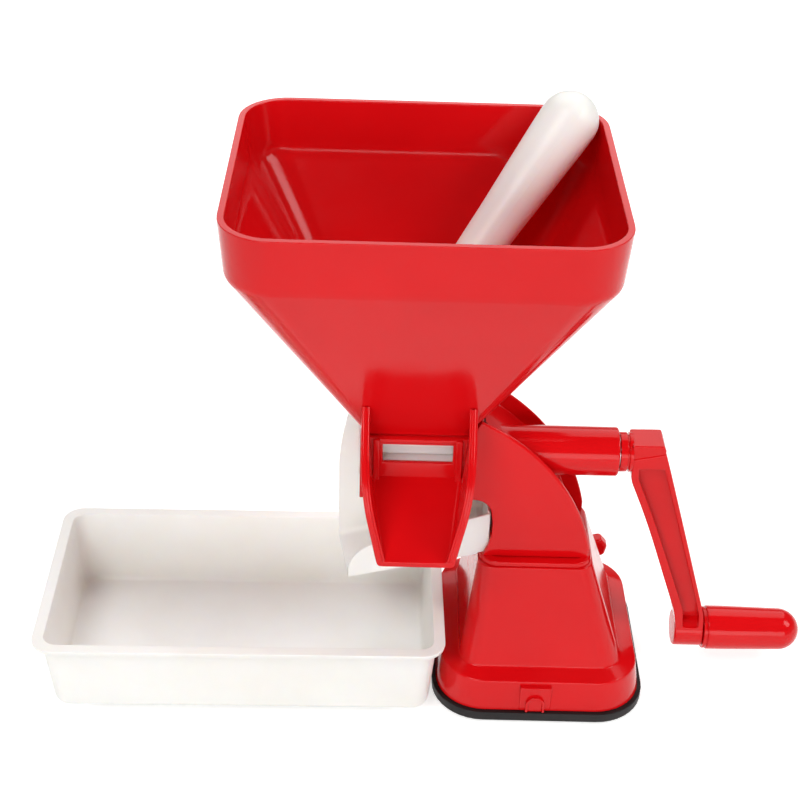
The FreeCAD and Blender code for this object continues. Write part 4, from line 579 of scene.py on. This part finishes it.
def chute_stations():
    """Stations along the chute: (bottom y, bottom z, half floor, top y, top z, half brim)."""
    longest = 5.0
    keys = [
        ((-23.8, 148.4, 24.3, -24.4, 175.2, 27.2), 0),
        ((BRIM_START, 143.8, 23.5, BRIM_START, 196.3, 27.2), 0),
        ((-62.0, 127.0, 19.4, -62.0, 161.5, 27.0), 33.0),
        ((-69.7, 122.6, 17.2, -69.7, 123.6, 17.5), 0),
    ]
    path = soften(keys, closed=False, steps=8)
    full = []
    for first, second in zip(path, path[1:]):
        span = (Vector(second[3:5]) - Vector(first[3:5])).length
        parts = max(1, round(span / longest))
        for part in range(parts):
            t = part / parts
            full.append(tuple(a + (b - a) * t for a, b in zip(first, second)))
    return full + [path[-1]]


def make_chute():
    """Chute: a floor between two flared walls."""
    wall = CHUTE_WALL
    rings = []
    for low_y, low_z, floor, top_y, top_z, brim in chute_stations():
        rings.append(soften([
            ((CHUTE_MID - brim, top_y, top_z), 0), ((CHUTE_MID - floor, low_y, low_z), 2.2),
            ((CHUTE_MID + floor, low_y, low_z), 2.2), ((CHUTE_MID + brim, top_y, top_z), 0),
            ((CHUTE_MID + brim + wall, top_y, top_z), 0),
            ((CHUTE_MID + floor + wall, low_y, low_z - wall), 3.0),
            ((CHUTE_MID - floor - wall, low_y, low_z - wall), 3.0),
            ((CHUTE_MID - brim - wall, top_y, top_z), 0),
        ], steps=4))
    shape = Shape()
    shape.skin(rings)
    piece = shape.piece("chute_moulding")
    finish(piece, "frame", "red_plastic", edge=0.5, angle=45, nodes=("waste_chute",))


def make_chute_beads():
    """Beads along the brims of both walls, each with two low ridges."""
    section = [(-2.3, -1.9, 0.8), (2.1, -1.9, 0.8), (2.1, -0.8, 0.8), (1.4, 0.25, 0.7), (0.3, 0.25, 0.6),
               (-0.3, -0.6, 0.5), (-0.8, -0.6, 0.4), (-1.3, 0.25, 0.6), (-2.3, 0.25, 0.9)]
    outward = CHUTE_WALL / 2 - 0.55
    brims = [station[3:] for station in chute_stations() if station[3] <= BRIM_START]
    shape = Shape()
    for side in (-1, 1):
        rings = []
        for number, (top_y, top_z, brim) in enumerate(brims):
            before, after = brims[max(number - 1, 0)], brims[min(number + 1, len(brims) - 1)]
            along = Vector((0, after[0] - before[0], after[1] - before[1])).normalized()
            up = Vector((0, along.z, -along.y))
            middle = Vector((CHUTE_MID + side * (brim + outward), top_y, top_z))
            rings.append([middle + Vector((side * across, 0, 0)) + up * rise
                          for across, rise in fillet(section, 4)])
        shape.skin(rings)
    piece = shape.piece("chute_beads")
    finish(piece, "frame", "red_plastic", edge=0.2, angle=60)


def make_chute_frame():
    """Slotted plate that carries the chute, with two posts and a lintel round the slot."""
    shape = Shape()
    plate = rectangle(-105.0, 141.4, -44.6, 172.4)
    slot = rectangle(-93.65, 156.4, -55.95, 168.0)
    shape.hoop(plate, slot, "y", -26.4, -23.8)
    post_low, post_top, post_inner, post_outer = 144.6, 172.2, 20.3, 24.0
    for side in (-1, 1):
        left, right = sorted((CHUTE_MID + side * post_inner, CHUTE_MID + side * post_outer))
        post = fillet([(left, post_low), (right, post_low), (right, post_top, 1.2), (left, post_top, 1.2)])
        shape.prism(post, "y", -28.6, -25.0)
    lintel_low, lintel_half = 169.6, 21.0
    shape.prism(rectangle(CHUTE_MID - lintel_half, lintel_low, CHUTE_MID + lintel_half, post_top),
                "y", -27.4, -25.0)
    piece = shape.piece("chute_frame")
    finish(piece, "frame", "red_plastic", edge=0.7, angle=40)


# ------------------------------------------------------------------ juice trough

def make_trough():
    """Sloping channel under the drum, open to the left, in thin white plastic."""
    half, wall = 20.6, 1.6
    slope = math.radians(14.7)
    left, bend, sill, right = -118.5, -39.5, -38.3, -32.9
    bend_low, sill_low, shoulder = 89.55, 91.15, 118.55
    saddle, guard_top, chamber_top = 129.7, 162.0, 165.0

    def low(x):
        """Height of the sloping underside."""
        return bend_low - (bend - x) * math.tan(slope)

    side = [(left, low(left)), (bend, bend_low), (sill, sill_low), (right, sill_low), (right, shoulder),
            (-45.9, saddle), (-48.7, saddle), (-48.7, chamber_top), (-102.9, chamber_top),
            (-102.9, saddle), (-106.1, saddle)]
    guard = [((-106.1, guard_top), 0), ((-112.6, guard_top), 4.5), ((-117.2, 138.0), 8.0),
             ((left, 124.0), 0)]
    shape = Shape()
    shape.prism(side + soften(guard, closed=False), "y", -half, half)
    piece = shape.piece("trough_moulding")
    beyond, above = -124.0, 170.0
    lift = wall / math.cos(slope)
    inside = Shape()
    rings = []
    for x, z in ((beyond, low(beyond) + lift), (bend, bend_low + lift), (sill, sill_low + wall),
                 (-34.5, sill_low + wall)):
        outline = fillet([(wall - half, z, 5.0), (half - wall, z, 5.0),
                          (half - wall, above), (wall - half, above)])
        rings.append(lay(outline, "x", x))
    inside.skin(rings)
    lip, lip_radius = -111.6, 22.0
    lip_low = low(lip) + 0.5
    front = (arc((lip, lip_low), (lip + 13.64, low(lip) + 23.78), -lip_radius, 16)
             + [(right, shoulder), (-30.0, 118.6), (-30.0, above), (beyond, above), (beyond, lip_low)])
    corner = [(beyond, -26.0), (lip, -26.0), (lip, -half), (left, half), (beyond, half)]
    carve(piece, inside, cutter(front, "y", -half - 1.0, -half + wall), cutter(corner, "z", 60.0, 89.5))
    finish(piece, "frame", "white_plastic", edge=0.35, angle=40, nodes=("juice_trough",))


# ------------------------------------------------------------------ crank and grip

def make_crank_hub():
    """Grooved neck and boxy hub, with the shaft's square socket and the screw's well."""
    neck_radius, groove_radius, bore = 11.1, 9.9, 5.05
    axis = (0.0, AXIS_HIGH)
    shape = Shape()
    neck = soften([((37.4, bore), 0), ((37.4, neck_radius), 0.4), ((41.4, neck_radius), 0.3),
                   ((41.4, groove_radius), 0.3), ((42.6, groove_radius), 0.3), ((42.6, neck_radius), 0.3),
                   ((44.5, neck_radius), 0.2), ((44.5, bore), 0)], steps=3)
    shape.lathe(neck, "x", axis)
    # each station along X: half width, then the underside and the top from the axis
    rings = []
    for x, half, low, top in ((43.5, 8.4, -4.4, 9.2), (44.1, 8.8, -4.8, 9.7), (56.0, 8.8, -4.8, 9.9),
                              (60.8, 8.8, -4.8, 9.9), (62.2, 8.6, -4.4, 7.0)):
        outline = fillet([(-half, low), (half, low), (half, top, 1.0), (-half, top, 1.0)], 5)
        rings.append([(x, y, AXIS_HIGH + z) for y, z in outline])
    shape.skin(rings)
    piece = shape.piece("crank_hub")
    clear_radius, well_radius, square_half = 5.1, 4.8, 3.525
    neck_bore = cutter(circle(clear_radius, 48, axis), "x", 36.0, 43.4)
    square = rectangle(-square_half, AXIS_HIGH - square_half, square_half, AXIS_HIGH + square_half)
    well = cutter(circle(well_radius, 48, axis), "x", 59.8, 68.0)
    carve(piece, neck_bore, cutter(square, "x", 43.0, 57.4), well)
    finish(piece, "crank_set", "red_plastic", edge=0.7, angle=38, nodes=("crank_arm",))


def make_crank_beam():
    """Arm of H section: a hoop all round and a web in its middle."""
    high, low = AXIS_HIGH, GRIP_HIGH
    hoop_half, web_half = 9.5, 2.0
    outer = fillet([(44.4, high + 1.0), (44.4, high - 12.5, 4.0), (57.0, high - 42.3, 20.0),
                    (80.4, low + 19.1, 3.0), (83.2, low + 4.0, 3.0), (99.4, low + 4.0, 3.0),
                    (98.4, low + 16.0, 5.0), (77.2, high - 42.0, 20.0), (66.6, high - 8.0, 4.0),
                    (62.4, high + 5.0)], 6)
    inner = fillet([(48.6, high - 5.4), (48.6, high - 12.0, 3.0), (61.4, high - 42.3, 20.0),
                    (85.6, low + 20.0, 3.0), (86.8, low + 7.2, 2.0), (96.0, low + 7.2, 2.0),
                    (95.4, low + 17.0, 3.0), (74.2, high - 42.0, 20.0), (63.4, high - 8.0, 3.0),
                    (62.6, high - 5.4)], 6)
    web = fillet([(46.6, high - 3.0), (46.6, high - 12.0, 3.0), (59.2, high - 42.3, 20.0),
                  (83.0, low + 20.0, 3.0), (84.6, low + 6.0), (97.6, low + 6.0), (96.9, low + 16.0, 3.0),
                  (75.7, high - 42.0, 20.0), (64.6, high - 8.0), (63.4, high - 3.0)], 6)
    shape = Shape()
    shape.hoop(outer, inner, "y", -hoop_half, hoop_half)
    shape.prism(web, "y", -web_half, web_half)
    piece = shape.piece("crank_beam")
    finish(piece, "crank_set", "red_plastic", edge=0.7, angle=38)


def make_crank_foot():
    """Round foot that holds the grip's axle, closed at its left end."""
    left, right, radius, bore = 82.4, 99.4, 10.9, 3.53
    axis = (0.0, GRIP_HIGH)
    shape = Shape()
    profile = soften([((84.4, bore), 0), ((left, bore), 0), ((left, radius), 1.6), ((98.6, radius), 0.8),
                      ((right, 10.6), 0.6), ((right, bore), 0)], steps=4)
    shape.lathe(profile, "x", axis)
    shape.lathe([(left, 0.0), (left, 4.0), (84.5, 4.0), (84.5, 0.0)], "x", axis, closed=False, steps=48)
    piece = shape.piece("crank_foot")
    finish(piece, "crank_set", "red_plastic", edge=0.3, angle=50)


def make_grip():
    """Turned grip with a collar at the crank and a round end."""
    left, radius, collar_radius, groove_radius = 99.9, 13.0, 12.4, 11.7
    dome_mid, dome_radius = 145.9, 12.3
    bore, well_radius = 3.55, 5.3
    profile = soften([((left, bore), 0), ((left, collar_radius), 0.5), ((101.5, collar_radius), 0.3),
                      ((101.5, groove_radius), 0.2), ((102.3, groove_radius), 0.2), ((102.3, radius), 0.9),
                      ((112.0, radius), 0)], closed=False, steps=4)
    for angle in range(0, 90, 6):
        turn = math.radians(angle)
        profile.append((dome_mid + dome_radius * math.sin(turn), dome_radius * math.cos(turn)))
    profile.append((dome_mid + dome_radius, 0.0))
    well = [(149.8, 0.0), (149.8, well_radius), (146.7, well_radius), (146.7, bore)]
    shape = Shape()
    shape.lathe(profile + well, "x", (0.0, GRIP_HIGH))
    piece = shape.piece("grip_moulding")
    finish(piece, "grip_set", "red_plastic", angle=45, nodes=("grip",))


# ------------------------------------------------------------------ tray and pusher

def make_tray():
    """Tray with tapering sides, a flange with a soft lip and four feet."""
    outside = [
        ((0, 0, 100.0, 50.0, 6.0, 6.0), 0), ((0, 0, 107.0, 55.5, 9.75, 6.0), 3.0),
        ((0, 0, 110.3, 60.3, 9.75, 52.0), 0.6), ((0, 0, 114.6, 64.6, 12.0, 52.3), 0.5),
        ((0, 0, 115.0, 65.0, 12.0, 55.0), 0.8),
    ]
    inside = [
        ((0, 0, 108.5, 58.5, 7.5, 55.0), 1.0), ((0, 0, 104.8, 53.3, 7.5, 8.2), 3.5),
        ((0, 0, 98.0, 47.0, 5.0, 8.2), 0),
    ]
    foot_x, foot_y = 93.0, 42.5
    place, heading = (-171.7, -5.2, 0), math.radians(0.95)
    shape = Shape()
    shape.stack(outside + inside)
    for x in (-foot_x, foot_x):
        for y in (-foot_y, foot_y):
            shape.stack([((x, y, 5.4, 4.4, 2.0, 0.0), 0), ((x, y, 6.0, 5.0, 2.4, 0.0), 0.8),
                         ((x, y, 6.5, 5.5, 2.7, 7.0), 0)])
    turn = Matrix.Translation(place) @ Matrix.Rotation(heading, 4, "Z")
    piece = shape.moved(turn).piece("tray_moulding")
    finish(piece, "tray_set", "white_plastic", angle=40, nodes=("tray",))


def make_pusher():
    """Pusher: straight foot, long concave flare to the waist and a round head."""
    # each row: height, half width, half depth, corner radius
    rows = [
        (0.0, 20.9, 16.9, 7.4), (0.5, 21.3, 17.3, 7.8), (1.4, 21.5, 17.5, 8.0), (34.0, 21.2, 17.3, 8.0),
        (37.0, 20.6, 17.0, 8.4), (40.5, 18.8, 16.0, 9.2), (45.0, 16.2, 14.5, 10.0), (50.0, 14.2, 13.2, 10.8),
        (57.0, 12.5, 12.2, 11.3), (66.0, 11.6, 11.6, 11.4), (80.0, 11.7, 11.7, 11.6),
        (110.0, 12.9, 12.9, 12.8), (140.0, 14.6, 14.6, 14.5), (162.0, 15.8, 15.8, 15.7),
        (173.7, 16.2, 16.2, 16.1),
    ]
    head_mid, head_radius = 173.7, 16.2
    rings = [box_loop(0, 0, half_x, half_y, radius, z) for z, half_x, half_y, radius in rows]
    for angle in range(6, 90, 6):
        turn = math.radians(angle)
        reach = head_radius * math.cos(turn)
        rings.append(box_loop(0, 0, reach, reach, reach - 0.02, head_mid + head_radius * math.sin(turn)))
    rings.append(box_loop(0, 0, 0.4, 0.4, 0.38, head_mid + head_radius))
    shape = Shape()
    shape.skin(rings)
    foot, heading, lean = (-93.74, 1.15, 188.63), math.radians(39.07), math.radians(45.41)
    hinge = Vector((-math.sin(heading), math.cos(heading), 0))
    tilt = Matrix.Translation(foot) @ Matrix.Rotation(lean, 4, hinge)
    piece = shape.moved(tilt).piece("pusher_moulding")
    finish(piece, "pusher_set", "white_plastic", angle=40, nodes=("pusher",))


# ------------------------------------------------------------------ studio, in metres

FLOOR_HALF = 9.0
FLOOR_GLOW = 0.62
# height of the view direction, and the sky's level there
SKY_STOPS = ((0.0, 0.55), (0.10, 0.45), (0.35, 0.10), (1.0, 0.06))
# each lamp: place, target, width, height, watts
LAMPS = {
    "key": ((-0.9, -1.3, 1.9), (-0.07, 0.0, 0.15), 1.0, 1.0, 19.0),
    "fill": ((1.4, -0.4, 1.5), (-0.03, 0.0, 0.12), 0.8, 1.0, 14.0),
    "overhead": ((-0.1, 1.1, 1.45), (-0.07, 0.0, 0.2), 2.6, 1.7, 25.0),
    "front": ((-0.1, -2.3, 0.5), (-0.07, 0.0, 0.15), 3.0, 0.9, 25.0),
}
CAMERA_PLACE = (-0.0941, -0.7155, 0.6546)
CAMERA_LENS = 71.07
CAMERA_PITCH = 33.60
CAMERA_YAW = 0.73
CAMERA_ROLL = 1.89


def math_node(tree, operation, first, second):
    """A clamped sum or product of a socket with another socket or a number."""
    node = tree.nodes.new("ShaderNodeMath")
    node.operation = operation
    node.use_clamp = True
    tree.links.new(first, node.inputs[0])
    if isinstance(second, float):
        node.inputs[1].default_value = second
    else:
        tree.links.new(second, node.inputs[1])
    return node.outputs[0]


def make_floor():
    """White floor that glows to the camera and in reflections, and keeps the shadows."""
    material = bpy.data.materials.new("studio_floor")
    material.use_nodes = True
    tree = material.node_tree
    tree.nodes.clear()
    output = tree.nodes.new("ShaderNodeOutputMaterial")
    cloth = tree.nodes.new("ShaderNodeBsdfDiffuse")
    cloth.inputs["Color"].default_value = (0.80, 0.80, 0.79, 1.0)
    glow = tree.nodes.new("ShaderNodeEmission")
    glow.inputs["Color"].default_value = (1.0, 1.0, 0.99, 1.0)
    ray = tree.nodes.new("ShaderNodeLightPath").outputs
    seen = math_node(tree, "ADD", ray["Is Camera Ray"], ray["Is Glossy Ray"])
    seen = math_node(tree, "ADD", seen, ray["Is Transmission Ray"])
    tree.links.new(math_node(tree, "MULTIPLY", seen, FLOOR_GLOW), glow.inputs["Strength"])
    both = tree.nodes.new("ShaderNodeAddShader")
    tree.links.new(cloth.outputs[0], both.inputs[0])
    tree.links.new(glow.outputs[0], both.inputs[1])
    tree.links.new(both.outputs[0], output.inputs["Surface"])
    corners = rectangle(-FLOOR_HALF, -FLOOR_HALF, FLOOR_HALF, FLOOR_HALF)
    mesh = bpy.data.meshes.new("studio_floor")
    mesh.from_pydata(lay(corners, "z", 0), [], [(0, 1, 2, 3)])
    mesh.materials.append(material)
    link("studio_floor", mesh)


def make_lamp(name, place, target, width, height, power):
    """A rectangular softbox that faces its target."""
    lamp = bpy.data.lights.new(name, "AREA")
    lamp.shape = "RECTANGLE"
    lamp.size = width
    lamp.size_y = height
    lamp.energy = power
    holder = link(name, lamp)
    holder.location = place
    holder.rotation_euler = (Vector(target) - Vector(place)).to_track_quat("-Z", "Y").to_euler()


def make_world():
    """A pale sky, brightest at the horizon and below it."""
    world = bpy.data.worlds.new("studio")
    bpy.context.scene.world = world
    world.use_nodes = True
    tree = world.node_tree
    shade = tree.nodes["Background"]
    place = tree.nodes.new("ShaderNodeTexCoord")
    split = tree.nodes.new("ShaderNodeSeparateXYZ")
    tree.links.new(place.outputs["Generated"], split.inputs["Vector"])
    ramp = tree.nodes.new("ShaderNodeValToRGB")
    set_ramp(ramp, [(height, (level, level * 0.995, level * 0.985, 1.0)) for height, level in SKY_STOPS])
    tree.links.new(split.outputs["Z"], ramp.inputs["Fac"])
    tree.links.new(ramp.outputs["Color"], shade.inputs["Color"])
    shade.inputs["Strength"].default_value = 1.0


def make_camera():
    """A long lens from the front, looking down on the hopper."""
    camera = bpy.data.cameras.new("camera")
    camera.sensor_width = 36.0
    camera.lens = CAMERA_LENS
    camera.clip_start = 0.01
    camera.clip_end = 50.0
    holder = link("camera", camera)
    pitch, yaw, roll = (math.radians(angle) for angle in (CAMERA_PITCH, CAMERA_YAW, CAMERA_ROLL))
    forward = Vector((math.sin(yaw) * math.cos(pitch), math.cos(yaw) * math.cos(pitch), -math.sin(pitch)))
    level = Vector((math.cos(yaw), -math.sin(yaw), 0.0))
    upright = level.cross(forward)
    right = level * math.cos(roll) + upright * math.sin(roll)
    up = upright * math.cos(roll) - level * math.sin(roll)
    turn = Matrix((right, up, -forward)).transposed()
    holder.matrix_world = Matrix.Translation(CAMERA_PLACE) @ turn.to_4x4()
    bpy.context.scene.camera = holder


def dress_nodes():
    """Gives every carried-over CAD node the material of its slot."""
    for row in frame["record"]["subparts"]:
        piece = frame["nodes"][row["node"]]
        piece.data.materials.clear()
        piece.data.materials.append(MATERIALS[row["material_slot"]])


make_camera()
make_world()
make_floor()
for lamp_name, lamp_settings in LAMPS.items():
    make_lamp(lamp_name, *lamp_settings)

dress_nodes()
make_pad()
make_base()
make_base_arch()
make_lever()
make_machine_body()
make_barrel()
make_hopper()
make_chute()
make_chute_beads()
make_chute_frame()
make_trough()
make_crank_hub()
make_crank_beam()
make_crank_foot()
make_grip()
make_tray()
make_pusher()

bpy.context.scene.view_settings.view_transform = "Standard"
